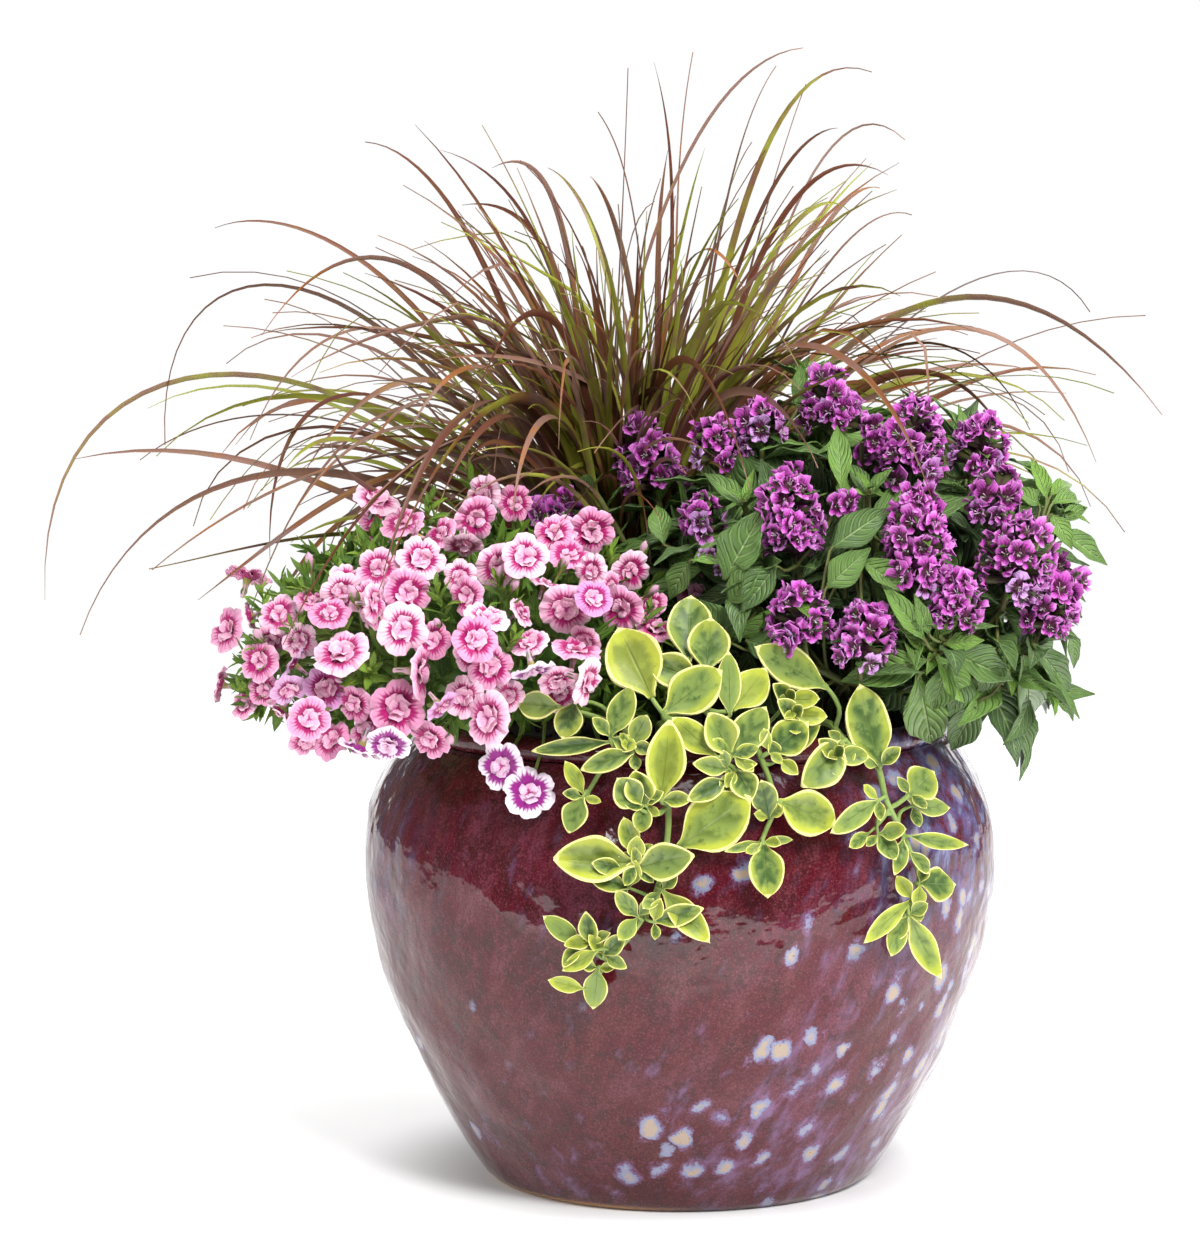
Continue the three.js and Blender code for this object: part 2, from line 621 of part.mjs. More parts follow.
// A dew plant trail: its stem crosses the rim and hangs down the wall, with spoon leaves
function makeTrail({ root, stem, leaves }, index) {
  const node = `dew_plant_trail_${index + 1}`;
  const draw = makeDraw(700 + index);
  const [x, y] = root;
  const foot = addSocket(x, y, DEW_PLANT.rootRadius);
  const hanging = stem.map(([px, py]) => onDrape(px, py, 7));
  const rise = point(x, y, POT.height + 4);
  const overRim = hanging[0].clone().lerp(rise, 0.45);
  overRim.z = Math.max(overRim.z, POT.height + 9);
  const path = [point(x, y, SOIL.crownHeight + 2), rise, overRim, ...hanging];
  const steps = path.length + 2;
  place(node, toSolid(stemSkin(path, DEW_PLANT.rootRadius, DEW_PLANT.tipRadius, { steps, foot })), true);
  const middle = stemMiddle(path, steps);
  const line = Array.from({ length: 60 }, (_, i) => middle(mix(0.15, 0.96, i / 59)));
  for (const [bx, by, tx, ty, width] of leaves) {
    const stand = 9 + 5 * draw();
    const way = (shift) => () => {
      const base = onDrape(bx, by, stand + shift);
      const out = point(base.x, base.y, 0).normalize();
      return leafSkin({
        root: line.reduce((best, p) => (p.distanceTo(base) < best.distanceTo(base) ? p : best)),
        base,
        tip: onDrape(tx, ty, stand + 7 + shift),
        width: width * PICTURE.scale,
        thickness: DEW_PLANT.leafThickness,
        facing: out.addScaledVector(TO_EYE, 0.8).addScaledVector(UP, 0.35),
        arch: 0.08,
        shape: width < 24 ? SHORT_SPOON : SPOON,
      });
    };
    placeBest(node, [0, 4, 8, 12, -3].map(way));
  }
  return node;
}

// A double bloom on its stalk: a funnel of five round lobes, and a smaller rosette in its throat.
// A stalk of two points stands in the heart, and a stalk of one branches off another.
function bloomSkin({ centre, facing, width, turn, stalk }) {
  const { side, normal } = section(facing, Math.abs(facing.z) > 0.95 ? point(0, 1, 0) : UP);
  const ring = (count, middle, radiusOf, depthOf, bend = new THREE.Quaternion()) =>
    Array.from({ length: count }, (_, i) => {
      const a = turn + (2 * Math.PI * i) / count;
      const spoke = side.clone().multiplyScalar(Math.cos(a)).addScaledVector(normal, Math.sin(a));
      spoke.multiplyScalar(radiusOf(i)).addScaledVector(facing, depthOf(i));
      return spoke.applyQuaternion(bend).add(middle);
    });
  const throat = centre.clone().addScaledVector(facing, -CALIBRACHOA.tubeLength);
  const path = [...stalk, throat, centre];
  const runs = path.slice(1).map((p, i) => p.clone().sub(path[i]).normalize());
  const stalkRings = path.slice(0, -1).map((p, i) => {
    if (i === 0 && stalk.length === 1) return [p];
    const along = runs[Math.max(i - 1, 0)].clone().add(runs[i]).normalize();
    const bend = new THREE.Quaternion().setFromUnitVectors(facing, along);
    return ring(3, p, () => CALIBRACHOA.stalkRadius, () => 0, bend);
  });
  const lobes = ring(10, centre, (i) => (width / 2) * (i % 2 ? 0.84 : 1), (i) => (i % 2 ? 0.8 : 0));
  const rosette = ring(5, centre, () => width * 0.27, () => 2.8);
  return skin([...stalkRings, lobes, rosette]);
}

// A bloom's facing, from how far it looks to the right and up in the picture
function bloomFacing(right, up) {
  const out = Math.sqrt(Math.max(1 - right * right - up * up, 0.02));
  return TO_EYE.clone()
    .multiplyScalar(out)
    .addScaledVector(point(1, 0, 0), right)
    .addScaledVector(RISE, up)
    .normalize();
}

// Calibrachoa heart: a rounded body above the rim, on one root in the soil
function makeHeart() {
  const node = "calibrachoa_foliage";
  const ball = new THREE.SphereGeometry(1, 10, 7).scale(...HEART.half).translate(...HEART.centre);
  const below = new THREE.BoxGeometry(400, 400, 200).translate(HEART.centre[0], 0, HEART.bottom - 100);
  place(node, solidOf(ball).subtract(solidOf(below)), true);
  const [x, y] = HEART.root;
  const foot = addSocket(x, y, CALIBRACHOA.rootRadius);
  place(node, post(x, y, foot.z, HEART.bottom + 12, CALIBRACHOA.rootRadius, 6), true);
  return node;
}

// The place inside the heart nearest to a point, at a share of the heart's size
function inHeart(from, share) {
  const centre = fromList(HEART.centre);
  const half = fromList(HEART.half);
  const seat = from.clone().sub(centre).divide(half).normalize();
  seat.multiplyScalar(share).multiply(half).add(centre);
  seat.z = Math.max(seat.z, HEART.bottom + 6);
  return seat;
}

// Several blooms: the first one's stalk stands in the heart, and the others branch off it
function makeBloomCluster(blooms, index) {
  const node = `calibrachoa_blooms_${String(index + 1).padStart(2, "0")}`;
  const draw = makeDraw(300 + index);
  let fork = null;
  for (const { middle, facing, width, outward } of blooms) {
    const turn = draw() * 2 * Math.PI;
    const tries = [];
    for (const shift of [0, 6, 12, 18, 25, 32, 38, -6, -12]) {
      for (const sway of [0, -9, 9]) {
        const centre = middle.clone().addScaledVector(outward, shift);
        const seat = inHeart(middle.clone().add(point(sway, 0, Math.abs(sway) * 0.5)), 0.86);
        const stalk = fork ? [fork] : [seat, centre.clone().lerp(seat, 0.6)];
        tries.push({ centre, stalk });
      }
    }
    const ways = tries.map((found) => () => bloomSkin({ ...found, facing, width, turn }));
    const best = placeBest(node, ways, { mustStay: true, ignored: ["calibrachoa_foliage"] });
    stalkHoles.push(toSolid(best.made, SOCKET.gap));
    fork ??= tries[best.choice].stalk[1];
  }
  return node;
}

// A bloom that shows in the picture, and one on the mound's far side
const nearBloom = ([x, y, size, right, up]) => ({
  middle: onMound(x, y, CALIBRACHOA_MOUND).place,
  facing: bloomFacing(right, up),
  width: size * PICTURE.scale,
  outward: TO_EYE,
});
const farBloom = (direction) => {
  const { place: middle, normal } = onFarSide(direction, CALIBRACHOA_MOUND);
  return { middle, facing: normal, width: CALIBRACHOA.bloomWidth, outward: normal };
};

// Small lance leaves all over the heart, where they stay clear of the flowers
function growHeartLeaves(node) {
  const draw = makeDraw(41);
  const golden = Math.PI * (3 - Math.sqrt(5));
  for (let i = 0; i < CALIBRACHOA.leaves; i++) {
    const rise = 1 - (1.15 * (i + 0.5)) / CALIBRACHOA.leaves;
    const around = Math.sqrt(Math.max(1 - rise * rise, 0));
    const out = point(around * Math.cos(i * golden), around * Math.sin(i * golden), rise);
    const base = out.clone().multiply(fromList(HEART.half)).multiplyScalar(HEART.leafSeat);
    base.add(fromList(HEART.centre));
    base.z = Math.max(base.z, HEART.bottom + 4);
    const reach = CALIBRACHOA.leafLength * (1 + 0.35 * draw());
    const lean = point(draw() - 0.5, draw() - 0.5, 0.7 * draw()).multiplyScalar(0.9);
    const ways = [0, 0.5, -0.5, 0.9, -0.9].map((turn) => () => {
      const along = out.clone().add(lean).applyAxisAngle(UP, turn);
      along.z = Math.max(along.z, -0.1);
      return leafSkin({
        base,
        tip: base.clone().addScaledVector(along.normalize(), reach),
        width: CALIBRACHOA.leafWidth,
        thickness: CALIBRACHOA.leafThickness,
        facing: UP,
        shape: SHORT_LANCE,
      });
    });
    placeBest(node, ways);
  }
}

// A cuphea floret: a slim tube that opens into six ruffled petals
function floretSkin(base, facing, turn) {
  const { side, normal } = section(facing, Math.abs(facing.z) > 0.95 ? point(0, 1, 0) : UP);
  const ring = (count, along, radiusOf, dipOf) =>
    Array.from({ length: count }, (_, i) => {
      const a = turn + (2 * Math.PI * i) / count;
      return base
        .clone()
        .addScaledVector(facing, along + dipOf(i))
        .addScaledVector(side, radiusOf(i) * Math.cos(a))
        .addScaledVector(normal, radiusOf(i) * Math.sin(a));
    });
  const tube = ring(3, CUPHEA.floretLength * 0.45, () => 1.6, () => 0);
  const petals = ring(
    12,
    CUPHEA.floretLength,
    (i) => CUPHEA.floretRadius * (i % 2 ? 0.52 : 1),
    (i) => (i % 2 ? -1.6 : 0.8),
  );
  return skin([[base], tube, petals, [base.clone().addScaledVector(facing, CUPHEA.floretLength - 2.6)]]);
}

// A cuphea head: a slim spike that florets stand out of all round
function makeHead([x, y, length, width, lean], name) {
  const draw = makeDraw(x * 7 + y);
  const { place: middle, normal } = onMound(x, y, CUPHEA_MOUND);
  const tilt = THREE.MathUtils.degToRad(lean);
  const axis = point(Math.sin(tilt), 0, Math.cos(tilt)).addScaledVector(normal, 0.25).normalize();
  const tall = length * PICTURE.scale;
  const wide = width * PICTURE.scale;
  const spine = Math.max(tall - CUPHEA.floretRadius, 8);
  const start = middle.clone().addScaledVector(axis, -tall / 2);
  const spread = Math.max(wide / 2 - CUPHEA.floretLength, 2.4);
  const end = start.clone().addScaledVector(axis, spine);
  const mid = start.clone().addScaledVector(axis, spine * 0.5);
  const spike = stemSkin([start, mid, end], 1.7, 1.2, { steps: 2, sides: 4 });
  const { side, normal: front } = section(axis, point(0, -1, 0));
  place(name, toSolid(spike), true);
  const count = Math.max(4, Math.round((tall * wide) / 380));
  for (let i = 0; i < count; i++) {
    const t = mix(0.25, 1, (i + 0.5) / count);
    const turn = draw();
    const ways = [0, 0.3, -0.3, 0.6, -0.6].map((swing) => () => {
      const a = i * 2.4 + 4.2 + swing;
      const out = side.clone().multiplyScalar(Math.cos(a)).addScaledVector(front, Math.sin(a));
      const facing = out.addScaledVector(axis, t > 0.85 ? 1.3 : 0.15 + 0.5 * t).normalize();
      const base = start.clone().addScaledVector(axis, spine * t * 0.92);
      const reach = Math.max(wide / 2 - CUPHEA.floretLength, 0);
      const grown = floretSkin(base, facing, turn);
      for (const p of grown.points.slice(1)) p.addScaledVector(facing, reach);
      return grown;
    });
    placeBest(name, ways, { mustStay: true });
  }
  return { start, axis };
}

// A leafy cuphea stem that forks to its flower heads and to its leafy shoots
function makeCupheaStem({ root, shoots, farShoots = [] }, index, seats) {
  const node = `cuphea_stem_${index + 1}`;
  const draw = makeDraw(500 + index);
  const [x, y] = root;
  const foot = addSocket(x, y, CUPHEA.rootRadius);
  const ends = seats.map(({ start, axis }) => ({
    end: start.clone().addScaledVector(axis, -0.7),
    axis,
    isShoot: false,
  }));
  for (const [sx, sy] of shoots) {
    const { place: end, normal } = onMound(sx, sy, CUPHEA_MOUND, 0.94);
    ends.push({ end, axis: normal.clone().addScaledVector(UP, 0.7).normalize(), isShoot: true });
  }
  for (const direction of farShoots) {
    const { place: end, normal } = onFarSide(direction, CUPHEA_MOUND, 0.86);
    ends.push({ end, axis: normal.clone().addScaledVector(UP, 0.7).normalize(), isShoot: true });
  }
  const middle = ends.reduce((sum, { end }) => sum.add(end), point(0, 0, 0)).divideScalar(ends.length);
  const low = point(x, y, SOIL.crownHeight + 3);
  const forks = [[0, 0], [0, 10], [0, -10], [10, 0], [-10, 0], [14, 14], [-14, -14], [0, 22]].map(
    ([dx, dy]) => point(x, y, POT.height + 10).lerp(middle, 0.4).add(point(dx, dy, 0)),
  );
  const trunks = forks.map((fork) => () => {
    const rise = point(x, y, POT.height + 6);
    return stemSkin([low, rise, fork], CUPHEA.rootRadius, 2.4, { sides: 4, steps: 3, foot });
  });
  const trunk = placeBest(node, trunks, { mustStay: true });
  const fork = forks[trunk.choice];
  const branches = [];
  for (const { end, axis, isShoot } of ends) {
    const below = end.clone().addScaledVector(axis, -12);
    const routes = [0, 10, -10, 20, -20, 30, -30, 42, -42].map((sway) => {
      const bend = fork.clone().lerp(below, 0.5).add(point(sway, Math.abs(sway) * 0.7, 0));
      return [fork, bend, below, end];
    });
    const ways = routes.map((route) => () => stemSkin(route, 2.3, CUPHEA.stemRadius, { steps: 3 }));
    const branch = placeBest(node, ways, { mustStay: true });
    branches.push({ middle: stemMiddle(routes[branch.choice], 3), axis, isShoot });
  }
  return () => {
    for (const branch of branches) growStemLeaves(node, branch, draw);
  };
}

// Opposite pairs of leaves up a branch, each pair turned from the one below
function growStemLeaves(node, { middle, axis, isShoot }, draw) {
  const { side, normal } = section(axis, point(0, -1, 0));
  const pairs = isShoot ? [0.6, 0.94] : [0.76];
  const first = draw() * Math.PI;
  for (const [pair, t] of pairs.entries()) {
    const base = middle(t);
    for (const flip of [0, Math.PI]) {
      const a = first + pair * 1.4 + flip;
      const size = CUPHEA.leafLength * (0.85 + 0.3 * draw());
      const rise = isShoot ? 0.15 + 0.4 * pair : 0.15;
      const ways = [0, 0.4, -0.4, 0.8, -0.8, 1.2, -1.2].map((turn) => () => {
        const out = side.clone().multiplyScalar(Math.cos(a + turn));
        out.addScaledVector(normal, Math.sin(a + turn)).addScaledVector(axis, rise).normalize();
        return leafSkin({
          base,
          tip: base.clone().addScaledVector(out, size),
          width: CUPHEA.leafWidth * (size / CUPHEA.leafLength),
          thickness: CUPHEA.leafThickness,
          facing: axis,
          arch: 0.13,
          shape: isShoot ? LANCE : SHORT_LANCE,
        });
      });
      placeBest(node, ways);
    }
  }
}

// A grass blade: keeled, tapering and arching over
function bladeSkin(curve, width, steps) {
  const shares = Array.from({ length: steps }, (_, i) => i / steps);
  const inward = curve.getPoint(0).sub(curve.getPoint(1)).setZ(0);
  const sections = travel(shares.map((t) => curve.getTangent(t)), inward);
  const rings = shares.map((t, i) => {
    const { side, normal } = sections[i];
    const half = (width / 2) * (i ? 1 - 0.7 * t * t : 0.6);
    const rib = curve.getPoint(t);
    return [
      rib.clone().addScaledVector(side, -half),
      rib.clone().addScaledVector(normal, -GRASS.bladeThickness),
      rib.clone().addScaledVector(side, half),
    ];
  });
  return skin([...rings, [curve.getPoint(1)]]);
}

// Fountain grass: a tight crown in the soil, with blades that arch out of it
function makeGrass() {
  const node = "fountain_grass";
  const { crown, rootRadius, crownRadius, crownRise } = GRASS;
  const foot = addSocket(crown.x, crown.y, rootRadius);
  place(node, post(crown.x, crown.y, foot.z, SOIL.crownHeight + 6, rootRadius, 6), true);
  const tuft = upright(new THREE.CylinderGeometry(crownRadius, rootRadius, crownRise, 8));
  place(node, solidOf(tuft.translate(crown.x, crown.y, SOIL.crownHeight + 3 + crownRise / 2)), true);
  const top = SOIL.crownHeight + crownRise;
  for (const [ax, ay, bx, by, tx, ty, forward, width] of LONG_BLADES) {
    const ways = [0, 15, -15, 30, -30, 45, 60, 80].map((step) => () => {
      const depth = crown.y - forward - step;
      const first = atDepth(ax, ay - Math.abs(step), mix(crown.y, depth, 0.12));
      const root = point(crown.x, crown.y, top - 4);
      root.add(first.clone().sub(root).setZ(0).setLength(crownRadius * 0.7));
      const second = atDepth(bx, by, mix(crown.y, depth, 0.6));
      return bladeSkin(new THREE.CubicBezierCurve3(root, first, second, atDepth(tx, ty, depth)), width, 5);
    });
    placeBest(node, ways);
  }
  return node;
}

// A blade's middle that leans out at its root and bends further over towards its tip
function leaningCurve(root, turn, { length, start, bend, swing }) {
  const steps = 12;
  const points = [root.clone()];
  for (let i = 0; i < steps; i++) {
    const share = (i + 0.5) / steps;
    const tilt = ((start + bend * share ** 1.6) * Math.PI) / 180;
    const heading = turn + swing * share;
    const flat = Math.sin(tilt);
    const along = point(flat * Math.cos(heading), flat * Math.sin(heading), Math.cos(tilt));
    points.push(points[i].clone().addScaledVector(along, length / steps));
  }
  return new THREE.CatmullRomCurve3(points);
}

// The rest of the blades, all round the crown by rule
function growRuleBlades(node) {
  const { crown, crownRadius, crownRise } = GRASS;
  const top = SOIL.crownHeight + crownRise;
  const draw = makeDraw(177);
  for (let i = 0; i < GRASS.ruleBlades; i++) {
    const turn = 2 * Math.PI * ((0.5698403 * i + 0.3) % 1) + mix(-0.3, 0.3, draw());
    const isFront = Math.sin(turn) < -0.3;
    const lean = ((0.7548777 * i + 0.1) % 1) * (isFront ? 0.45 : 1);
    const reach = Math.sin(turn) > 0.3 ? 0.85 : 1;
    const length = (mix(190, 320, draw()) + 90 * lean) * reach;
    const start = 3 + 46 * lean * mix(0.6, 1, draw());
    const bend = (16 + 84 * lean) * mix(0.45, 1.25, draw());
    const width = mix(3.5, 6.2, draw());
    const swing = mix(-0.6, 0.6, draw());
    const ways = [0, 0.15, -0.15, 0.3, -0.3, 0.5, -0.5].map((shift) => () => {
      const out = point(Math.cos(turn + shift), Math.sin(turn + shift), 0);
      const root = point(crown.x, crown.y, top - 2).addScaledVector(out, crownRadius * (0.1 + 0.6 * lean));
      return bladeSkin(leaningCurve(root, turn + shift, { length, start, bend, swing }), width, 4);
    });
    placeBest(node, ways);
  }
}

const pot = makePot();
place("pot", pot);
const wholeSoil = makeSoil();
const trails = TRAILS.map(makeTrail);
const heart = makeHeart();
const clusters = [
  ...BLOOM_CLUSTERS.map((blooms) => blooms.map(nearBloom)),
  ...FAR_CLUSTERS.map((blooms) => blooms.map(farBloom)),
].map(makeBloomCluster);
let headCount = 0;
const seatsByStem = CUPHEA_STEMS.map(({ heads }) =>
  heads.map((head) => makeHead(head, `cuphea_head_${String(++headCount).padStart(2, "0")}`)),
);
const growers = CUPHEA_STEMS.map((stem, i) => makeCupheaStem(stem, i, seatsByStem[i]));
const grass = makeGrass();
for (const growLeaves of growers) growLeaves();
growHeartLeaves(heart);
growRuleBlades(grass);

addMesh("pot", pot, MATERIALS.glaze);
const soil = sockets.reduce((rest, socket) => rest.subtract(socket), wholeSoil);
addMesh("soil", oneBody(soil), MATERIALS.soil);
for (const node of trails) addMesh(node, fuse(node), MATERIALS.dewPlant);
for (const node of clusters) addMesh(node, fuse(node), MATERIALS.calibrachoaFlower);
for (let i = 1; i <= CUPHEA_STEMS.length; i++) {
  addMesh(`cuphea_stem_${i}`, fuse(`cuphea_stem_${i}`), MATERIALS.cupheaLeaf);
}
for (let i = 1; i <= headCount; i++) {
  const node = `cuphea_head_${String(i).padStart(2, "0")}`;
  addMesh(node, fuse(node), MATERIALS.cupheaFlower);
}
addMesh(heart, cutHeart(), MATERIALS.calibrachoaLeaf);
addMesh(grass, fuse(grass), MATERIALS.grass);

export default group;
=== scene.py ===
"""A mixed planter, dressed: a glazed belly pot of soil with a cuphea, a double calibrachoa,
a variegated dew plant and a purple fountain grass, on a pale floor in soft studio light."""

from __future__ import annotations

import logging
import math
from collections.abc import Callable, Sequence
from dataclasses import dataclass, field
from enum import Enum

import bpy
import numpy as np
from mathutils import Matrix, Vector

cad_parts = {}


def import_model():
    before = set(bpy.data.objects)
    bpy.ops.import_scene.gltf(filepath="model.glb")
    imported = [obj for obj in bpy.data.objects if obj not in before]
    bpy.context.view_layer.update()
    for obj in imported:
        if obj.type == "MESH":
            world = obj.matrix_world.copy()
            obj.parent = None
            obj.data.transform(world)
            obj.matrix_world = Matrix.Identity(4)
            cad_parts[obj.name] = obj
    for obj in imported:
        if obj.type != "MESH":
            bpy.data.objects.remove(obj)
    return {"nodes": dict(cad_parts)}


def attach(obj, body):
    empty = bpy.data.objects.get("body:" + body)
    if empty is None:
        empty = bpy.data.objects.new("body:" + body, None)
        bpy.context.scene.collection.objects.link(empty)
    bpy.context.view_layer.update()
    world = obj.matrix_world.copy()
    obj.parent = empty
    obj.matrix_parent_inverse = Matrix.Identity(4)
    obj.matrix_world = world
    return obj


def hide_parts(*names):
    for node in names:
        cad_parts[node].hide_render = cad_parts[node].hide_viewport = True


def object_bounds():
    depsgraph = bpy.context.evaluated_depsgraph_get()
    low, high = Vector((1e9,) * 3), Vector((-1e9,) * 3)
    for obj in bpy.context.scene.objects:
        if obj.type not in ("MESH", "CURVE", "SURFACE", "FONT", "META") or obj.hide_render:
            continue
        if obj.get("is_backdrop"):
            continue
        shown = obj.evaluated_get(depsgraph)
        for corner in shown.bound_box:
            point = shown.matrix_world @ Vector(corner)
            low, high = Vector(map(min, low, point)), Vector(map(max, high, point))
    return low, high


LOG = logging.getLogger("planter")
MM = 0.001
BODY = "root"

Array = np.ndarray
Pair = tuple[float, float]
Pixel = Pair
Triple = tuple[float, float, float]


class Slot(Enum):
    """The record's material slots."""

    GLAZE = "glaze"
    SOIL = "soil"
    DEW_PLANT = "dew_plant"
    BLOOM = "calibrachoa_flower"
    BLOOM_LEAF = "calibrachoa_leaf"
    CUPHEA_LEAF = "cuphea_leaf"
    CUPHEA_FLOWER = "cuphea_flower"
    GRASS = "grass"


def vec(x: float, y: float, z: float) -> Array:
    """A point or direction."""
    return np.array([x, y, z], float)


def unit(v: Array) -> Array:
    """A direction, or rows of directions, at length one."""
    return v / np.maximum(np.linalg.norm(v, axis=-1, keepdims=True), 1e-12)


def mix(a: Array | float, b: Array | float, t: Array | float) -> Array | float:
    """A value part of the way from one to another."""
    return a + (b - a) * t


def smooth(low: float, high: float, x: Array) -> Array:
    """A soft step from 0 at low to 1 at high."""
    t = np.clip((x - low) / (high - low), 0, 1)
    return t * t * (3 - 2 * t)


def level(turn: float) -> Array:
    """A level direction, turned from X towards Y."""
    return vec(math.cos(turn), math.sin(turn), 0)


def circle(count: int) -> Array:
    """Points evenly round a circle of radius one."""
    turns = np.arange(count) * 2 * math.pi / count
    return np.stack([np.cos(turns), np.sin(turns)], -1)


def nearest(points: Array, place: Array) -> Array:
    """The one of several points that lies nearest to a place."""
    return points[int(np.argmin(np.linalg.norm(points - place, axis=1)))]


SHARP_ANGLE = math.radians(80)
UP = vec(0, 0, 1)
GOLDEN_TURN = math.pi * (3 - math.sqrt(5))
# Where the stems stand in the soil, and where the pot's rim ends
SOCKET = 0.234
RIM_TOP = 0.285


def spiral(count: int, span: float) -> list[Array]:
    """Directions that wind evenly down a ball from its top, over a span of its height."""
    rises = [1 - span * (i + 0.5) / count for i in range(count)]
    return [level(i * GOLDEN_TURN) * math.sqrt(max(1 - rise * rise, 0)) + UP * rise
            for i, rise in enumerate(rises)]


def square_to(axis: Array) -> tuple[Array, Array]:
    """Two directions square to an axis and to each other, the second towards the front."""
    side = unit(np.cross(axis, vec(0, -1, 0)))
    return side, np.cross(side, axis)


class Draw:
    """A row of repeatable numbers."""

    def __init__(self, seed: int) -> None:
        """Starts the row at a seed."""
        self.state = seed

    def __call__(self, low: float = 0.0, high: float = 1.0) -> float:
        """The next number between two limits."""
        self.state = (self.state * 1664525 + 1013904223) % 4294967296
        return low + (high - low) * self.state / 4294967296

    def direction(self) -> Array:
        """A direction anywhere."""
        turn, rise = self(0, 2 * math.pi), self(-1, 1)
        return level(turn) * math.sqrt(1 - rise * rise) + UP * rise

    def pick(self, rows: Sequence) -> object:
        """One of several."""
        return rows[int(self() * (len(rows) - 0.001))]


@dataclass(frozen=True)
class Picture:
    """The layout picture: its eye, where it aims, its middle in points, and how large a point is."""

    eye: Triple = (-0.048, -3.0, 0.707)
    aim: Triple = (-0.048, 0.0, 0.337)
    middle: Pixel = (600.0, 619.5)
    tall: float = 1239.0
    grain: float = 0.602 * MM

    @property
    def forward(self) -> Array:
        """Where the eye looks."""
        return unit(np.array(self.aim) - np.array(self.eye))

    @property
    def toward(self) -> Array:
        """From the planter to the eye."""
        return -self.forward

    @property
    def rise(self) -> Array:
        """Up in the picture."""
        return np.cross(vec(1, 0, 0), self.forward)

    @property
    def reach(self) -> float:
        """How far the eye is from where it aims."""
        return float(np.linalg.norm(np.array(self.aim) - np.array(self.eye)))

    def sight(self, x: float, y: float) -> Array:
        """The direction from the eye through a point of the picture."""
        step = self.grain / self.reach
        right = (x - self.middle[0]) * step
        return self.forward + vec(right, 0, 0) + self.rise * ((self.middle[1] - y) * step)

    def at_depth(self, x: float, y: float, depth: float) -> Array:
        """The place behind a point of the picture, at a depth behind the pot's axis."""
        ray = self.sight(x, y)
        return np.array(self.eye) + ray * ((depth - self.eye[1]) / ray[1])

    def facing(self, right: float, up: float) -> Array:
        """A direction that looks out of the picture, this far to the right and up."""
        out = math.sqrt(max(1 - right * right - up * up, 0.02))
        return unit(self.toward * out + vec(right, 0, 0) + self.rise * up)

    def place_of(self, point: Array) -> Pixel:
        """The point of the picture that shows a place."""
        ray = point - np.array(self.eye)
        ray = ray / (ray @ self.forward)
        step = self.grain / self.reach
        return self.middle[0] + ray[0] / step, self.middle[1] - (ray @ self.rise) / step


PICTURE = Picture()


@dataclass(frozen=True)
class Mound:
    """An ellipsoid that a plant's outer form follows."""

    centre: Triple
    half: Triple

    def seen_at(self, x: float, y: float, share: float = 1.0) -> tuple[Array, Array]:
        """Where a line of sight meets the mound or passes it nearest, and its normal there.

        Args:
            x: The point of the picture, to the right.
            y: The point of the picture, down.
            share: The share of the mound's size.

        Returns:
            The place and the normal.
        """
        centre, half, eye = np.array(self.centre), np.array(self.half) * share, np.array(PICTURE.eye)
        ray = PICTURE.sight(x, y)
        start, along = (eye - centre) / half, ray / half
        a, b = along @ along, start @ along
        root = max(b * b - a * (start @ start - 1), 0)
        place = eye + ray * ((-b - math.sqrt(root)) / a)
        return place, unit((place - centre) / half / half)

    def beyond(self, direction: Sequence[float], share: float = 1.0) -> tuple[Array, Array]:
        """A place on the mound in a direction from its middle, and its normal there."""
        out, half = unit(np.array(direction, float)), np.array(self.half) * share
        return np.array(self.centre) + out * half, unit(out / half)

    def within(self, place: Array, share: float) -> Array:
        """Where the line from the mound's middle to a place leaves a share of the mound, roughly."""
        centre = np.array(self.centre)
        return centre + unit(place - centre) * np.array(self.half) * share


def smooth_path(points: Sequence[Array], count: int) -> Array:
    """A curve through points.

    Args:
        points: What it passes through, in order.
        count: How many points it gets.

    Returns:
        The curve's points, one a row.
    """
    knots = np.array(points, float)
    gaps = np.sqrt(np.linalg.norm(np.diff(knots, axis=0), axis=1))
    at = np.concatenate([[0], np.cumsum(gaps)])
    slopes = np.gradient(knots, at, axis=0)
    s = np.linspace(0, at[-1], count)
    i = np.clip(np.searchsorted(at, s, side="right") - 1, 0, len(at) - 2)
    h = (at[i + 1] - at[i])[:, None]
    t = (s - at[i])[:, None] / h
    first = (1 + 2 * t) * (1 - t) ** 2 * knots[i] + t * (1 - t) ** 2 * h * slopes[i]
    return first + t * t * (3 - 2 * t) * knots[i + 1] + t * t * (t - 1) * h * slopes[i + 1]


def bezier(points: Sequence[Array], count: int) -> Array:
    """A cubic curve on four control points."""
    a, b, c, d = (np.array(p, float) for p in points)
    t = np.linspace(0, 1, count)[:, None]
    return (1 - t) ** 3 * a + 3 * t * (1 - t) ** 2 * b + 3 * t * t * (1 - t) * c + t**3 * d


def frames_along(path: Array, first: Array) -> tuple[Array, Array]:
    """Sideways and upward directions that travel along a path without twisting.

    Args:
        path: The points of the path.
        first: The upward direction at its start, roughly.

    Returns:
        The sideways and the upward directions, one a row.
    """
    tangents = unit(np.gradient(path, axis=0))
    normals = np.empty_like(path)
    normal = first
    for i, tangent in enumerate(tangents):
        normal = unit(normal - tangent * (normal @ tangent))
        normals[i] = normal
    return np.cross(tangents, normals), normals


@dataclass
class Spot:
    """Where one copy of a mould goes, how it lies and bends, and its two shades."""

    base: Array
    along: Array
    facing: Array
    length: float
    width: float
    curl: float = 0.0
    tint: float = 0.5
    tone: float = 0.5


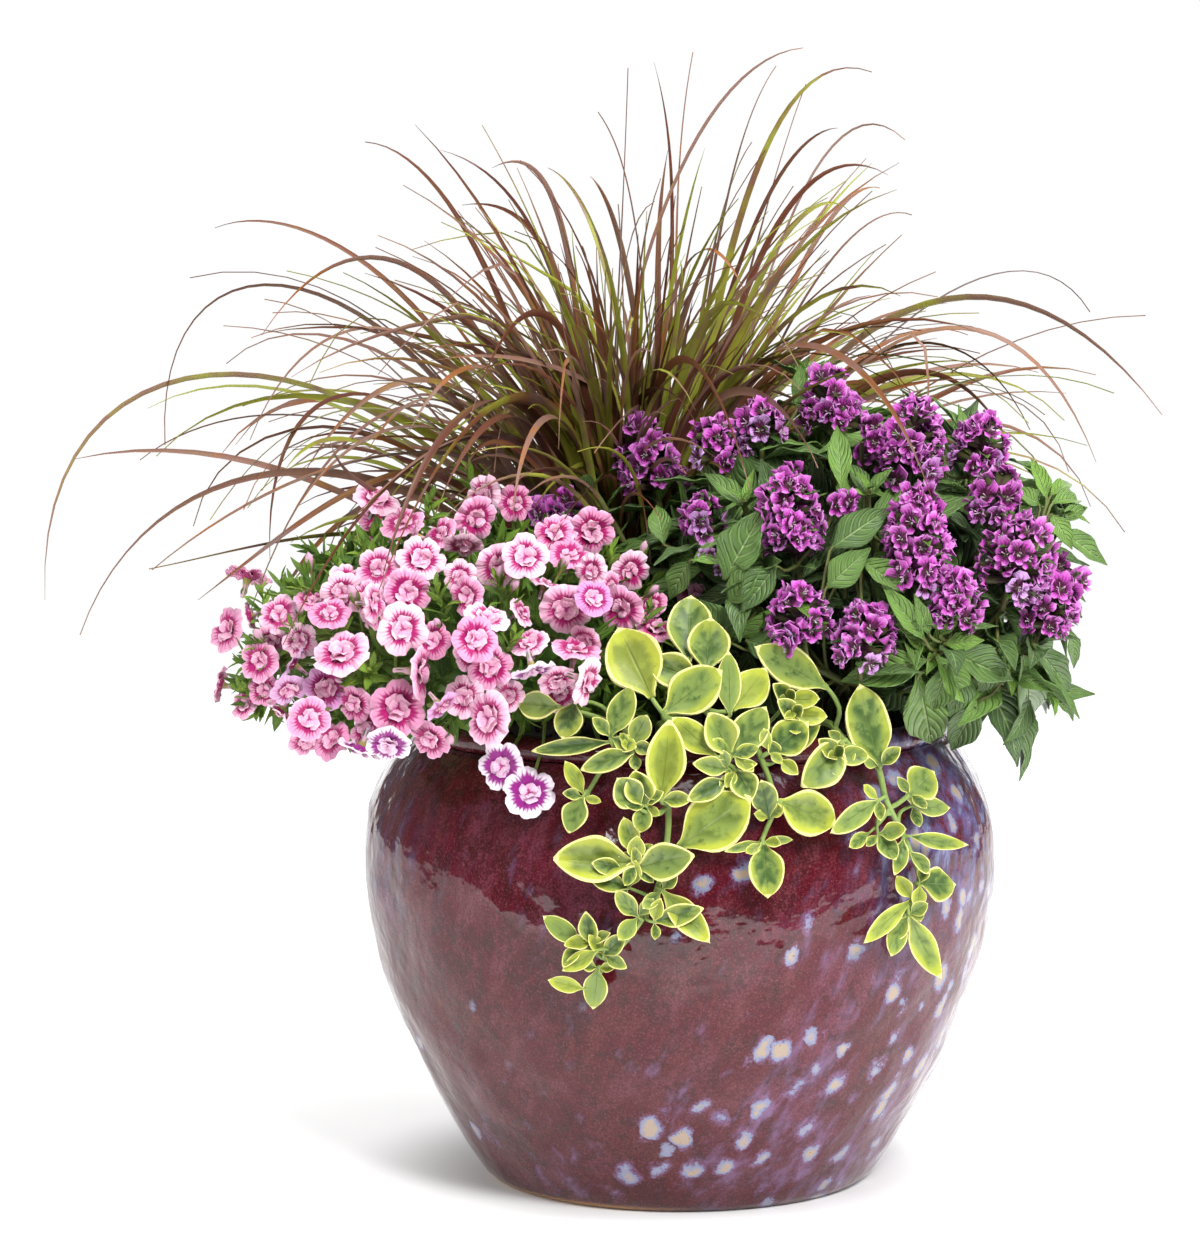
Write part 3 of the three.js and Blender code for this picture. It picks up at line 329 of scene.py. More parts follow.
@dataclass
class Mould:
    """A shape modelled once: across by its width, along by its length, and up by its width."""

    points: Array
    corners: Array
    sizes: Array
    uv: Array
    finish: Array

    @classmethod
    def taken_from(cls, piece: bpy.types.Object, finish: int) -> Mould:
        """Reads a modelled piece into a mould, and removes the piece."""
        mesh = piece.data
        points = np.empty(len(mesh.vertices) * 3)
        mesh.vertices.foreach_get("co", points)
        corners = np.empty(len(mesh.loops), np.int64)
        mesh.loops.foreach_get("vertex_index", corners)
        sizes = np.empty(len(mesh.polygons), np.int64)
        mesh.polygons.foreach_get("loop_total", sizes)
        uv = np.empty(len(mesh.loops) * 2)
        mesh.uv_layers.active.data.foreach_get("uv", uv)
        bpy.data.objects.remove(piece)
        bpy.data.meshes.remove(mesh)
        faces = np.full(len(sizes), finish)
        return cls(points.reshape(-1, 3), corners, sizes, uv.reshape(-1, 2), faces)


class Heap:
    """Copies of moulds, stems and blades that are gathered into one mesh."""

    def __init__(self) -> None:
        """Starts empty."""
        self.count = 0
        self.layers: dict[str, list[Array]] = {
            name: [] for name in ("points", "corners", "sizes", "uv", "finish", "tint", "tone")
        }

    def put(self, points: Array, corners: Array, sizes: Array, uv: Array, finish: Array,
            tint: Array, tone: Array) -> None:
        """Adds a mesh as arrays, with its corners counted from its own first point."""
        rows = (points, corners + self.count, sizes, uv, finish, tint, tone)
        for name, row in zip(self.layers, rows):
            self.layers[name].append(row)
        self.count += len(points)

    def cast(self, mould: Mould, spots: Sequence[Spot]) -> None:
        """Casts one copy of a mould at each spot, bent along its length by the spot's curl."""
        if not spots:
            return
        base = np.array([s.base for s in spots])
        along = unit(np.array([s.along for s in spots]))
        side = unit(np.cross(along, unit(np.array([s.facing for s in spots]))))
        up = np.cross(side, along)
        length = np.array([s.length for s in spots])[:, None]
        width = np.array([s.width for s in spots])[:, None]
        curl = np.array([s.curl for s in spots])[:, None]
        curl = np.where(np.abs(curl) < 1e-3, 1e-3, curl)
        x, y, z = mould.points.T
        turn = curl * y
        run, lift = length * np.sin(turn) / curl, length * (1 - np.cos(turn)) / curl
        run = run - width * z * np.sin(turn)
        lift = lift + width * z * np.cos(turn)
        made = base[:, None] + side[:, None] * (width * x)[..., None]
        made = made + along[:, None] * run[..., None] + up[:, None] * lift[..., None]
        copies, own = len(spots), len(mould.points)
        steps = np.arange(copies)[:, None] * own
        self.put(
            made.reshape(-1, 3),
            (mould.corners[None] + steps).ravel(),
            np.tile(mould.sizes, copies),
            np.tile(mould.uv, (copies, 1)),
            np.tile(mould.finish, copies),
            np.repeat([s.tint for s in spots], own),
            np.repeat([s.tone for s in spots], own),
        )

    def cast_each(self, moulds: Sequence[Mould], rows: Sequence[Sequence[Spot]]) -> None:
        """Casts each mould at its own row of spots."""
        for mould, spots in zip(moulds, rows):
            self.cast(mould, spots)

    def sweep(self, path: Array, section: Array, scale: Array, first: Array, finish: int,
              tint: float = 0.5, tone: float = 0.5, roll: float = 0.0, twist: float = 0.0) -> None:
        """Sweeps a closed section along a path, with both ends capped.

        Args:
            path: The points of the path.
            section: The section's points, across and up, counter-clockwise from the path's end.
            scale: The section's size at each point of the path, one number or two a row.
            first: The upward direction at the start, roughly.
            finish: Which of the piece's finishes it wears.
            tint: Its first shade.
            tone: Its second shade.
            roll: How far the section is turned at the start.
            twist: How much further it is turned at the end.
        """
        sides, normals = frames_along(path, first)
        angle = (roll + twist * np.linspace(0, 1, len(path)))[:, None]
        sides, normals = (sides * np.cos(angle) + normals * np.sin(angle),
                          normals * np.cos(angle) - sides * np.sin(angle))
        scale = scale if scale.ndim == 2 else np.stack([scale, scale], axis=1)
        rings, around = len(path), len(section)
        across = section[None, :, 0] * scale[:, :1]
        upward = section[None, :, 1] * scale[:, 1:]
        points = path[:, None] + sides[:, None] * across[..., None] + normals[:, None] * upward[..., None]
        i, j = np.meshgrid(np.arange(rings - 1), np.arange(around), indexing="ij")
        k = (j + 1) % around
        quads = np.stack([i * around + j, i * around + k, (i + 1) * around + k, (i + 1) * around + j], -1)
        ends = [np.arange(around)[::-1], np.arange(around) + (rings - 1) * around]
        v = np.stack([i, i, i + 1, i + 1], -1) / (rings - 1)
        u = np.stack([j, j + 1, j + 1, j], -1) / around
        uv = np.stack([u.ravel(), v.ravel()], -1)
        caps = np.stack([np.tile(np.arange(around) / around, 2), np.repeat([0.0, 1.0], around)], -1)
        faces = (rings - 1) * around + 2
        self.put(
            points.reshape(-1, 3),
            np.concatenate([quads.ravel(), *ends]),
            np.concatenate([np.full(faces - 2, 4), [around, around]]),
            np.concatenate([uv, caps]),
            np.full(faces, finish),
            np.full(rings * around, tint),
            np.full(rings * around, tone),
        )

    def stem(self, points: Sequence[Array], start: float, end: float, finish: int, count: int = 8,
             around: int = 6, tint: float = 0.5, tone: float = 0.5) -> Array:
        """Sweeps a round stem through points, and gives the points of its middle."""
        path = smooth_path(points, count)
        is_upright = abs(unit(path[1] - path[0])[2]) > 0.9
        first = vec(0, -1, 0) if is_upright else UP
        self.sweep(path, circle(around), np.linspace(start, end, count), first, finish, tint, tone)
        return path

    def _joined(self) -> dict[str, Array]:
        """All layers, each as one array."""
        return {name: np.concatenate(rows) for name, rows in self.layers.items()}

    def as_mould(self) -> Mould:
        """What the heap holds as one mould."""
        whole = self._joined()
        return Mould(*(whole[name] for name in ("points", "corners", "sizes", "uv", "finish")))

    def build(self, name: str, finishes: Sequence[bpy.types.Material]) -> bpy.types.Object:
        """Makes the heap one smooth piece.

        Args:
            name: The piece's name.
            finishes: Its materials, in the order that its faces count them.

        Returns:
            The piece, at the origin.
        """
        whole = self._joined()
        mesh = bpy.data.meshes.new(name)
        mesh.vertices.add(self.count)
        mesh.vertices.foreach_set("co", whole["points"].astype(np.float32).ravel())
        mesh.loops.add(len(whole["corners"]))
        mesh.loops.foreach_set("vertex_index", whole["corners"].astype(np.int32))
        mesh.polygons.add(len(whole["sizes"]))
        starts = np.concatenate([[0], np.cumsum(whole["sizes"])[:-1]]).astype(np.int32)
        mesh.polygons.foreach_set("loop_start", starts)
        mesh.polygons.foreach_set("material_index", whole["finish"].astype(np.int32))
        mesh.uv_layers.new(name="Pattern")
        mesh.uv_layers["Pattern"].data.foreach_set("uv", whole["uv"].astype(np.float32).ravel())
        for shade in ("tint", "tone"):
            mesh.attributes.new(shade, "FLOAT", "POINT")
            mesh.attributes[shade].data.foreach_set("value", whole[shade].astype(np.float32))
        mesh.update(calc_edges=True)
        mesh.shade_smooth()
        mesh.set_sharp_from_angle(angle=SHARP_ANGLE)
        for finish in finishes:
            mesh.materials.append(finish)
        piece = bpy.data.objects.new(name, mesh)
        bpy.context.scene.collection.objects.link(piece)
        return piece


def deselect() -> None:
    """Clears the selection, so that an operator acts on new work alone."""
    bpy.ops.object.select_all(action="DESELECT")


def activate(piece: bpy.types.Object, *others: bpy.types.Object) -> None:
    """Selects pieces alone, and makes the first one active."""
    deselect()
    for each in (piece, *others):
        each.select_set(True)
    bpy.context.view_layer.objects.active = piece


def apply_modifier(piece: bpy.types.Object, kind: str, **settings: object) -> None:
    """Adds a modifier to a piece and applies it.

    Args:
        piece: The piece.
        kind: The modifier's type.
        settings: Its settings.
    """
    modifier = piece.modifiers.new(kind.title(), kind)
    for name, value in settings.items():
        setattr(modifier, name, value)
    with bpy.context.temp_override(object=piece, active_object=piece, selected_objects=[piece]):
        bpy.ops.object.modifier_apply(modifier=modifier.name)


def shaped_sheet(across: int, along: int, shape: Callable[[Array, Array], Array], thickness: float,
                 pattern: Callable[[Array, Array], Array] | None = None,
                 finish: int = 0) -> Mould:
    """A thin closed shape that is modelled from a flat grid.

    Args:
        across: How many faces it has across.
        along: How many faces it has along.
        shape: Gives the points for places across, from -1 to 1, and along, from 0 to 1.
        thickness: How thick it is, for a width of one.
        pattern: Gives the UV for the same places, or None for the grid's own.
        finish: Which finish its faces wear.

    Returns:
        The mould.
    """
    deselect()
    bpy.ops.mesh.primitive_grid_add(x_subdivisions=across, y_subdivisions=along, size=1)
    piece = bpy.context.object
    mesh = piece.data
    flat = np.empty(len(mesh.vertices) * 3)
    mesh.vertices.foreach_get("co", flat)
    u, v = flat.reshape(-1, 3)[:, 0] * 2, flat.reshape(-1, 3)[:, 1] + 0.5
    mesh.vertices.foreach_set("co", shape(u, v).ravel())
    if pattern:
        corners = np.empty(len(mesh.loops), np.int64)
        mesh.loops.foreach_get("vertex_index", corners)
        mesh.uv_layers.active.data.foreach_set("uv", pattern(u, v)[corners].ravel())
    bpy.ops.object.mode_set(mode="EDIT")
    bpy.ops.mesh.select_all(action="SELECT")
    bpy.ops.mesh.remove_doubles(threshold=1e-4)
    bpy.ops.object.mode_set(mode="OBJECT")
    apply_modifier(piece, "SOLIDIFY", thickness=thickness, offset=-1)
    return Mould.taken_from(piece, finish)


def turned(name: str, rings: Sequence[Pair], around: int) -> bpy.types.Object:
    """Turns a closed body ring by ring.

    Args:
        name: The body's name.
        rings: The radius and height of each ring, from the underside on.
        around: How many points a ring has.

    Returns:
        The body.
    """
    deselect()
    radius, z = rings[0]
    bpy.ops.mesh.primitive_circle_add(vertices=around, radius=radius, fill_type="NGON", location=(0, 0, z))
    body = bpy.context.object
    body.name = body.data.name = name
    bpy.ops.object.transform_apply(location=True)
    bpy.ops.object.mode_set(mode="EDIT")
    bpy.ops.mesh.select_mode(type="EDGE")
    bpy.ops.mesh.select_all(action="SELECT")
    for (last, low), (radius, z) in zip(rings, rings[1:]):
        bpy.ops.mesh.extrude_edges_move(TRANSFORM_OT_translate={"value": (0, 0, z - low)})
        share = radius / last
        bpy.ops.transform.resize(value=(share, share, 1), center_override=(0, 0, z))
    bpy.ops.mesh.edge_face_add()
    bpy.ops.mesh.select_all(action="SELECT")
    bpy.ops.mesh.normals_make_consistent(inside=False)
    bpy.ops.object.mode_set(mode="OBJECT")
    return body


def leaf_shape(stations: Sequence[Pair], fold: float, wave: float = 0.0, ripples: float = 4.0,
               cup: float = 0.0, seed: float = 0.0) -> Callable[[Array, Array], Array]:
    """The form of a leaf.

    Args:
        stations: How far along each station lies, and its share of the full width.
        fold: How far the edges stand above the rib.
        wave: How far the edges wave up and down.
        ripples: How many waves an edge has.
        cup: How far the tip and base lift.
        seed: Shifts the waves, so that leaves differ.

    Returns:
        The function that a shaped sheet takes.
    """
    at, shares = (np.array(row) for row in zip(*stations))

    def shape(u: Array, v: Array) -> Array:
        """The leaf's points."""
        soft = np.mean([np.interp(np.clip(v + step, 0, 1), at, shares) for step in SOFTENING], axis=0)
        half = np.where((v > 0.001) & (v < SOFT_END), soft, np.interp(v, at, shares)) / 2
        edge = np.abs(u) ** 2
        ripple = np.sin(v * ripples * 2 * math.pi + seed + np.sign(u) * 1.3) * edge * wave
        height = fold * np.abs(u) ** 1.3 * (half * 2) + ripple * (half * 2)
        height = height + cup * ((v - 0.45) ** 2 * 4 - 0.4 * edge)
        return np.stack([u * half, v, height], -1)

    return shape


# An outline's corners are softened over these steps along it, up to its pointed end
SOFTENING = (-0.05, -0.025, 0, 0.025, 0.05)
SOFT_END = 0.93

LANCE = [(0, 0.05), (0.05, 0.07), (0.12, 0.32), (0.22, 0.72), (0.36, 1), (0.52, 0.96), (0.7, 0.66),
         (0.85, 0.32), (0.95, 0.1), (1, 0.01)]
SPOON = [(0, 0.13), (0.07, 0.15), (0.16, 0.42), (0.28, 0.8), (0.40, 0.98), (0.52, 1.02), (0.64, 0.95),
         (0.75, 0.79), (0.85, 0.56), (0.93, 0.30), (1, 0.02)]
FAN = [(0, 0.3), (0.3, 0.72), (0.6, 1), (0.85, 0.98), (1, 0.6)]
SLIM = [(0, 0.2), (0.12, 0.45), (0.35, 0.9), (0.55, 1), (0.78, 0.65), (0.93, 0.25), (1, 0.02)]
PETAL = [(0, 0.16), (0.2, 0.3), (0.45, 0.66), (0.7, 1), (0.88, 0.94), (1, 0.5)]


@dataclass(frozen=True)
class LeafKind:
    """A plant's leaf: its outline, faces and thickness, its ripples, and each mould's fold, wave and cup."""

    stations: Sequence[Pair]
    across: int
    along: int
    thickness: float
    ripples: float
    shift: float
    forms: tuple[Triple, ...]

    def moulds(self) -> list[Mould]:
        """Models the leaf once in each form."""
        shapes = [leaf_shape(self.stations, fold, wave, self.ripples, cup, i * self.shift)
                  for i, (fold, wave, cup) in enumerate(self.forms)]
        return [shaped_sheet(self.across, self.along, shape, self.thickness) for shape in shapes]


class Expr:
    """A socket that Python's operators turn into Math nodes."""

    def __init__(self, bench: Bench, socket: bpy.types.NodeSocket) -> None:
        """Wraps a socket on a bench."""
        self.bench = bench
        self.socket = socket

    def maths(self, operation: str, *others: Expr | float, swapped: bool = False) -> Expr:
        """Adds a Math node on this value and others."""
        values = [self, *others]
        if swapped:
            values.reverse()
        return self.bench.value("ShaderNodeMath", {"operation": operation}, dict(enumerate(values)))

    def __add__(self, other: Expr | float) -> Expr:
        """Adds."""
        return self.maths("ADD", other)

    __radd__ = __add__

    def __sub__(self, other: Expr | float) -> Expr:
        """Subtracts."""
        return self.maths("SUBTRACT", other)

    def __rsub__(self, other: float) -> Expr:
        """Subtracts from a number."""
        return self.maths("SUBTRACT", other, swapped=True)

    def __mul__(self, other: Expr | float) -> Expr:
        """Multiplies."""
        return self.maths("MULTIPLY", other)

    def __pow__(self, other: Expr | float) -> Expr:
        """Raises to a power."""
        return self.maths("POWER", other)

    def __abs__(self) -> Expr:
        """The size without its sign."""
        return self.maths("ABSOLUTE")

    def most(self, other: Expr | float) -> Expr:
        """The larger of two."""
        return self.maths("MAXIMUM", other)

    def sine(self) -> Expr:
        """The sine."""
        return self.maths("SINE")

    def step(self, low: float, high: float) -> Expr:
        """A soft step from 0 at low to 1 at high."""
        settings = {"interpolation_type": "SMOOTHSTEP", "clamp": True}
        inputs = {"Value": self, "From Min": low, "From Max": high}
        return self.bench.value("ShaderNodeMapRange", settings, inputs)


Value = Expr | bpy.types.NodeSocket | float | tuple


class Bench:
    """The nodes of one material, or of the world."""

    def __init__(self, name: str, kind: str = "materials") -> None:
        """Starts an empty material, or an empty world where the kind is worlds."""
        self.owner = getattr(bpy.data, kind).new(name)
        self.owner.use_nodes = True
        self.tree = self.owner.node_tree
        self.tree.nodes.clear()

    def node(self, kind: str, settings: dict | None = None,
             inputs: dict[str | int, Value] | None = None) -> bpy.types.Node:
        """Adds a node.

        Args:
            kind: The node's type.
            settings: Its own settings.
            inputs: The value or link of each socket, by name or place.

        Returns:
            The node.
        """
        made = self.tree.nodes.new(kind)
        for name, value in (settings or {}).items():
            setattr(made, name, value)
        for name, value in (inputs or {}).items():
            socket = made.inputs[name]
            value = value.socket if isinstance(value, Expr) else value
            if isinstance(value, bpy.types.NodeSocket):
                self.tree.links.new(value, socket)
            elif isinstance(value, tuple) and socket.type == "RGBA":
                socket.default_value = (*value[:3], 1)
            else:
                socket.default_value = value
        return made

    def value(self, kind: str, settings: dict | None = None,
              inputs: dict[str | int, Value] | None = None, output: str | int = 0) -> Expr:
        """Adds a node and gives one of its outputs."""
        return Expr(self, self.node(kind, settings, inputs).outputs[output])

    def parts(self, whole: Expr, kind: str = "ShaderNodeSeparateXYZ") -> list[Expr]:
        """The three numbers of a vector or a colour."""
        return [Expr(self, output) for output in self.node(kind, inputs={0: whole}).outputs]

    def place(self, space: str = "Object") -> tuple[Expr, Expr, Expr, Expr]:
        """Coordinates as a vector and each by itself, the object's own unless a space is named."""
        where = self.value("ShaderNodeTexCoord", output=space)
        return where, *self.parts(where)

    def shade(self, name: str) -> Expr:
        """One of the two shades that a copy carries."""
        return self.value("ShaderNodeAttribute", {"attribute_name": name}, output="Fac")

    def grown(self) -> tuple[Expr, Expr, Expr, Expr, Expr]:
        """What a plant is finished by: the place, the pattern across and along, and a copy's two shades."""
        u, v, _ = self.parts(self.value("ShaderNodeUVMap", {"uv_map": "Pattern"}))
        return self.place()[0], u, v, self.shade("tint"), self.shade("tone")

    def noise(self, where: Expr, scale: float, detail: float = 3.0, rough: float = 0.55) -> Expr:
        """Cloudy noise from 0 to 1."""
        inputs = {"Vector": where, "Scale": scale, "Detail": detail, "Roughness": rough}
        return self.value("ShaderNodeTexNoise", inputs=inputs)

    def stretched(self, where: Expr, stretch: Triple,
                  turn: Triple = (0, 0, 0)) -> Expr:
        """Coordinates that are turned, then drawn out by axis."""
        inputs = {"Vector": where, "Scale": stretch, "Rotation": turn}
        return self.value("ShaderNodeMapping", {"vector_type": "TEXTURE"}, inputs)

    def blend(self, share: Expr | float, a: Value, b: Value) -> Expr:
        """A colour part of the way from one to another."""
        settings = {"data_type": "RGBA", "clamp_factor": True}
        return self.value("ShaderNodeMix", settings, {0: share, 6: a, 7: b}, 2)

    def bump(self, height: Expr, strength: float, distance: float) -> Expr:
        """A normal from a height."""
        inputs = {"Height": height, "Strength": strength, "Distance": distance}
        return self.value("ShaderNodeBump", inputs=inputs)

    def finish(self, base: Value, roughness: Value, normal: Expr | None = None,
               **others: Value) -> bpy.types.Material:
        """Ends the material in one shader.

        Args:
            base: The colour.
            roughness: The roughness.
            normal: The bumped normal, or None.
            others: Other sockets of the shader, with _ for a space.

        Returns:
            The material.
        """
        inputs: dict[str | int, Value] = {"Base Color": base, "Roughness": roughness}
        inputs |= {name.replace("_", " "): value for name, value in others.items()}
        if normal:
            inputs["Normal"] = normal
        shader = self.value("ShaderNodeBsdfPrincipled", inputs=inputs)
        self.node("ShaderNodeOutputMaterial", inputs={"Surface": shader})
        return self.owner


Colour = Triple


@dataclass(frozen=True)
class Glaze:
    """Reduced copper glaze: oxblood, mottled with rust and mauve, and broken by cream spots."""

    oxblood: Colour = (0.078, 0.0025, 0.012)
    rust: Colour = (0.110, 0.022, 0.020)
    brown: Colour = (0.036, 0.006, 0.007)
    mauve: Colour = (0.170, 0.045, 0.095)
    tan: Colour = (0.230, 0.090, 0.085)
    lilac: Colour = (0.200, 0.110, 0.230)
    blue: Colour = (0.085, 0.080, 0.200)
    ice: Colour = (0.21, 0.24, 0.36)
    cream: Colour = (0.38, 0.28, 0.18)
    clay: Colour = (0.42, 0.22, 0.10)

    def make(self) -> bpy.types.Material:
        """The material."""
        bench = Bench("copper_glaze")
        where, x, _, z = bench.place()
        slant = (0.0, 0.42, 0.0)
        broad = bench.noise(bench.stretched(where, (1, 1, 1.8), slant), 17, 4)
        run = bench.noise(bench.stretched(where, (1, 1, 2.6), slant), 62, 4, 0.6)
        grain = bench.noise(where, 620, 3, 0.7)
        low = 1 - z.step(0.02, 0.20)
        right = x.step(-0.10, 0.17)
        streak = bench.noise(bench.stretched(where, (1, 1, 3.0), slant), 105, 4, 0.6)
        base = bench.blend((run * 0.8 + grain * 0.5).step(0.50, 0.86), self.oxblood, self.rust)
        veil = (broad * 0.6 + run * 0.6 + grain * 0.12 + right * 0.04).step(0.60, 0.84)
        base = bench.blend(veil * 0.42, base, self.mauve)
        # Blended towards brown low down: painted shade, darker towards the bottom where the belly turns under
        base = bench.blend(low * 0.30, base, self.brown)
        patch = bench.noise(where, 190, 3, 0.6)
        dusk = (bench.noise(where, 34, 3) * 0.5 + streak * 0.35 + patch * 0.5).step(0.62, 0.80)
        base = bench.blend(dusk * 0.8, base, self.brown)
        fleck = bench.noise(where, 760, 2, 0.8)
        base = bench.blend(fleck.step(0.50, 0.62) * 0.6, base, self.brown)
        base = bench.blend((1 - fleck).step(0.54, 0.68) * 0.28, base, self.tan)
        cool = (broad * 0.5 + streak * 0.8 + low * 0.06 + right * 0.05).step(0.72, 0.98)
        base = bench.blend(cool * (0.35 + grain * 0.5), base, self.lilac)
        side = x.step(0.07, 0.15) + (0 - x).step(0.13, 0.19) * 0.5
        shoulder = side * z.step(0.14, 0.22) * (streak * 0.7 + broad * 0.5).step(0.50, 0.68)
        base = bench.blend(shoulder * 0.85, base, self.blue)
        base = bench.blend(shoulder * streak.step(0.55, 0.70) * 0.6, base, self.ice)
        spots, halo = self._spots(bench, where, run, grain, low, right, slant)
        base = bench.blend(halo.step(0.0, 0.6) * (0.3 + grain * 0.4), base, self.lilac)
        base = bench.blend(halo.step(0.45, 1.0) * 0.7, base, self.blue)
        base = bench.blend(spots.step(0.04, 0.30) * 0.85, base, self.ice)
        base = bench.blend(spots.step(0.34, 0.90) * (0.5 + grain * 0.7), base, self.cream)
        specks = grain.step(0.60, 0.72) * (0.35 + halo * 0.4)
        base = bench.blend(specks, base, self.brown)
        foot = (1 - z.step(0.0015, 0.0045)) * (1 - x.step(-0.05, 0.02))
        base = bench.blend(foot, base, self.clay)
        dimples = bench.noise(where, 38, 2) + bench.noise(where, 95, 2) * 0.35 + grain * 0.012
        rough = 0.06 + grain * 0.05 + run * 0.03 + foot * 0.4
        return bench.finish(base, rough, bench.bump(dimples, 0.42, 0.004), IOR=1.42)

    @staticmethod
    def _spots(bench: Bench, where: Expr, run: Expr, grain: Expr, low: Expr, right: Expr,
               slant: Triple) -> tuple[Expr, Expr]:
        """The broken spots and the halo round each, more of them to the right and low down."""
        wobble = bench.value("ShaderNodeTexNoise", inputs={"Vector": where, "Scale": 75}, output="Color")
        bent = bench.value("ShaderNodeVectorMath", {"operation": "MULTIPLY_ADD"},
                           {0: wobble, 1: (0.011, 0.011, 0.016), 2: where})
        long = bench.stretched(bent, (1, 1, 1.35), slant)
        cells = bench.node("ShaderNodeTexVoronoi", inputs={"Vector": long, "Scale": 57, "Randomness": 0.95})
        near = Expr(bench, cells.outputs["Distance"])
        pick, size, _ = bench.parts(Expr(bench, cells.outputs["Color"]), "ShaderNodeSeparateColor")
        kept = (pick * 0.6 + low * 0.16 + right * 0.62).step(0.60, 0.72)
        rough = run * 0.22 + (grain - 0.5) * 0.45
        spot = (0.31 + size * 0.20 + rough * 1.2 - near * 1.65).most(0.0) * kept * 2.6
        halo = ((0.42 + size * 0.25 + rough - near * 1.20) * kept).step(0.05, 0.5)
        return spot, halo


@dataclass(frozen=True)
class Earth:
    """Dark potting soil."""

    dark: Colour = (0.012, 0.008, 0.005)
    light: Colour = (0.055, 0.034, 0.02)

    def make(self) -> bpy.types.Material:
        """The material."""
        bench = Bench("potting_soil")
        where, *_ = bench.place()
        grit = bench.noise(where, 320, 6, 0.7)
        base = bench.blend(grit.step(0.35, 0.72), self.dark, self.light)
        return bench.finish(base, 0.95, bench.bump(grit, 0.8, 0.003))


@dataclass(frozen=True)
class VeinedLeaf:
    """A leaf with a rib and side veins pressed into it, greener when young and duller when old; the dull
    colour is also painted shade on leaves set deep in a plant.
    """

    name: str
    blade: Colour
    young: Colour
    dull_and_shade: Colour
    rib: Colour
    veins: float = 7.0
    rough: float = 0.27
    depth: float = 0.0016

    def make(self) -> bpy.types.Material:
        """The material."""
        bench = Bench(self.name)
        where, u, v, tint, tone = bench.grown()
        across = abs(u * 2 - 1)
        cloud = bench.noise(where, 120, 3)
        midrib = 1 - across.step(0.015, 0.10)
        run = (v * self.veins - across * 1.1 - across * across * 1.25) * 2 * math.pi
        wave = run.sine() * 0.5 + 0.5
        vein = wave.step(0.80, 1.0) * (1 - across.step(0.78, 1.0)) * v.step(0.04, 0.1)
        base = bench.blend(tone, self.blade, self.young)
        # Dull share: old leaves at random, and painted shade on leaves that get a high tint because they sit
        # deep in a plant
        base = bench.blend((cloud * 0.7 + tint * 0.6).step(0.35, 1.0) * 0.75, base, self.dull_and_shade)
        base = bench.blend(vein * 0.32 + midrib * 0.7, base, self.rib)
        height = 1 - (wave.step(0.3, 1.0) * 0.55 + vein * 0.25 + midrib * 1.2) + cloud * 0.12
        return bench.finish(base, self.rough + cloud * 0.2, bench.bump(height, 0.8, self.depth))


@dataclass(frozen=True)
class MarginedLeaf:
    """A fleshy leaf: dark green in the middle, lime round it, and a thin cream margin."""

    middle: Colour = (0.050, 0.095, 0.024)
    bright: Colour = (0.170, 0.240, 0.060)
    lime: Colour = (0.380, 0.420, 0.045)
    cream: Colour = (0.800, 0.760, 0.300)

    def make(self) -> bpy.types.Material:
        """The material."""
        bench = Bench("dew_plant_leaf")
        where, u, v, tint, tone = bench.grown()
        across = abs(u * 2 - 1)
        cloud = bench.noise(where, 170, 4, 0.6)
        wide = bench.noise(where, 55, 2)
        reach = across.most((v - 0.5) * 2.05).most((0.12 - v) * 4)
        edge = reach + (wide - 0.5) * 0.7 + (cloud - 0.5) * 0.3
        lime = edge.step(0.45, 0.90) * (0.25 + tint * 0.75) + tint.step(0.72, 0.95) * 0.45
        feather = (v * 22 - across * 7 + cloud * 9).sine() * 0.5 + 0.5
        pale = (cloud * 0.9 + tone * 0.4 + feather * 0.22 + edge * 0.25).step(0.55, 1.05)
        base = bench.blend(pale, self.middle, self.bright)
        base = bench.blend(lime, base, self.lime)
        margin = (reach + (cloud - 0.5) * 0.05 + (wide - 0.5) * 0.08).step(0.87, 0.94)
        base = bench.blend(margin * 0.9, base, self.cream)
        rib = (1 - across.step(0.0, 0.08)) * (1 - v.step(0.55, 0.95))
        base = bench.blend(rib * 0.25, base, self.bright)
        height = cloud * 0.5 - rib * 0.9 + margin * 0.3
        return bench.finish(base, 0.20 + cloud * 0.22, bench.bump(height, 0.55, 0.0012), IOR=1.42)


@dataclass(frozen=True)
class Stem:
    """A plain stem that is lighter and darker along its length."""

    name: str
    light: Colour
    dark: Colour
    rough: float = 0.45

    def make(self) -> bpy.types.Material:
        """The material."""
        bench = Bench(self.name)
        where, *_ = bench.place()
        cloud = bench.noise(where, 150, 3)
        streak = bench.noise(bench.stretched(where, (1, 1, 6)), 700, 2)
        base = bench.blend((cloud * 0.6 + bench.shade("tint") * 0.5).step(0.3, 0.85), self.light, self.dark)
        return bench.finish(base, self.rough + cloud * 0.15, bench.bump(streak, 0.4, 0.0006))


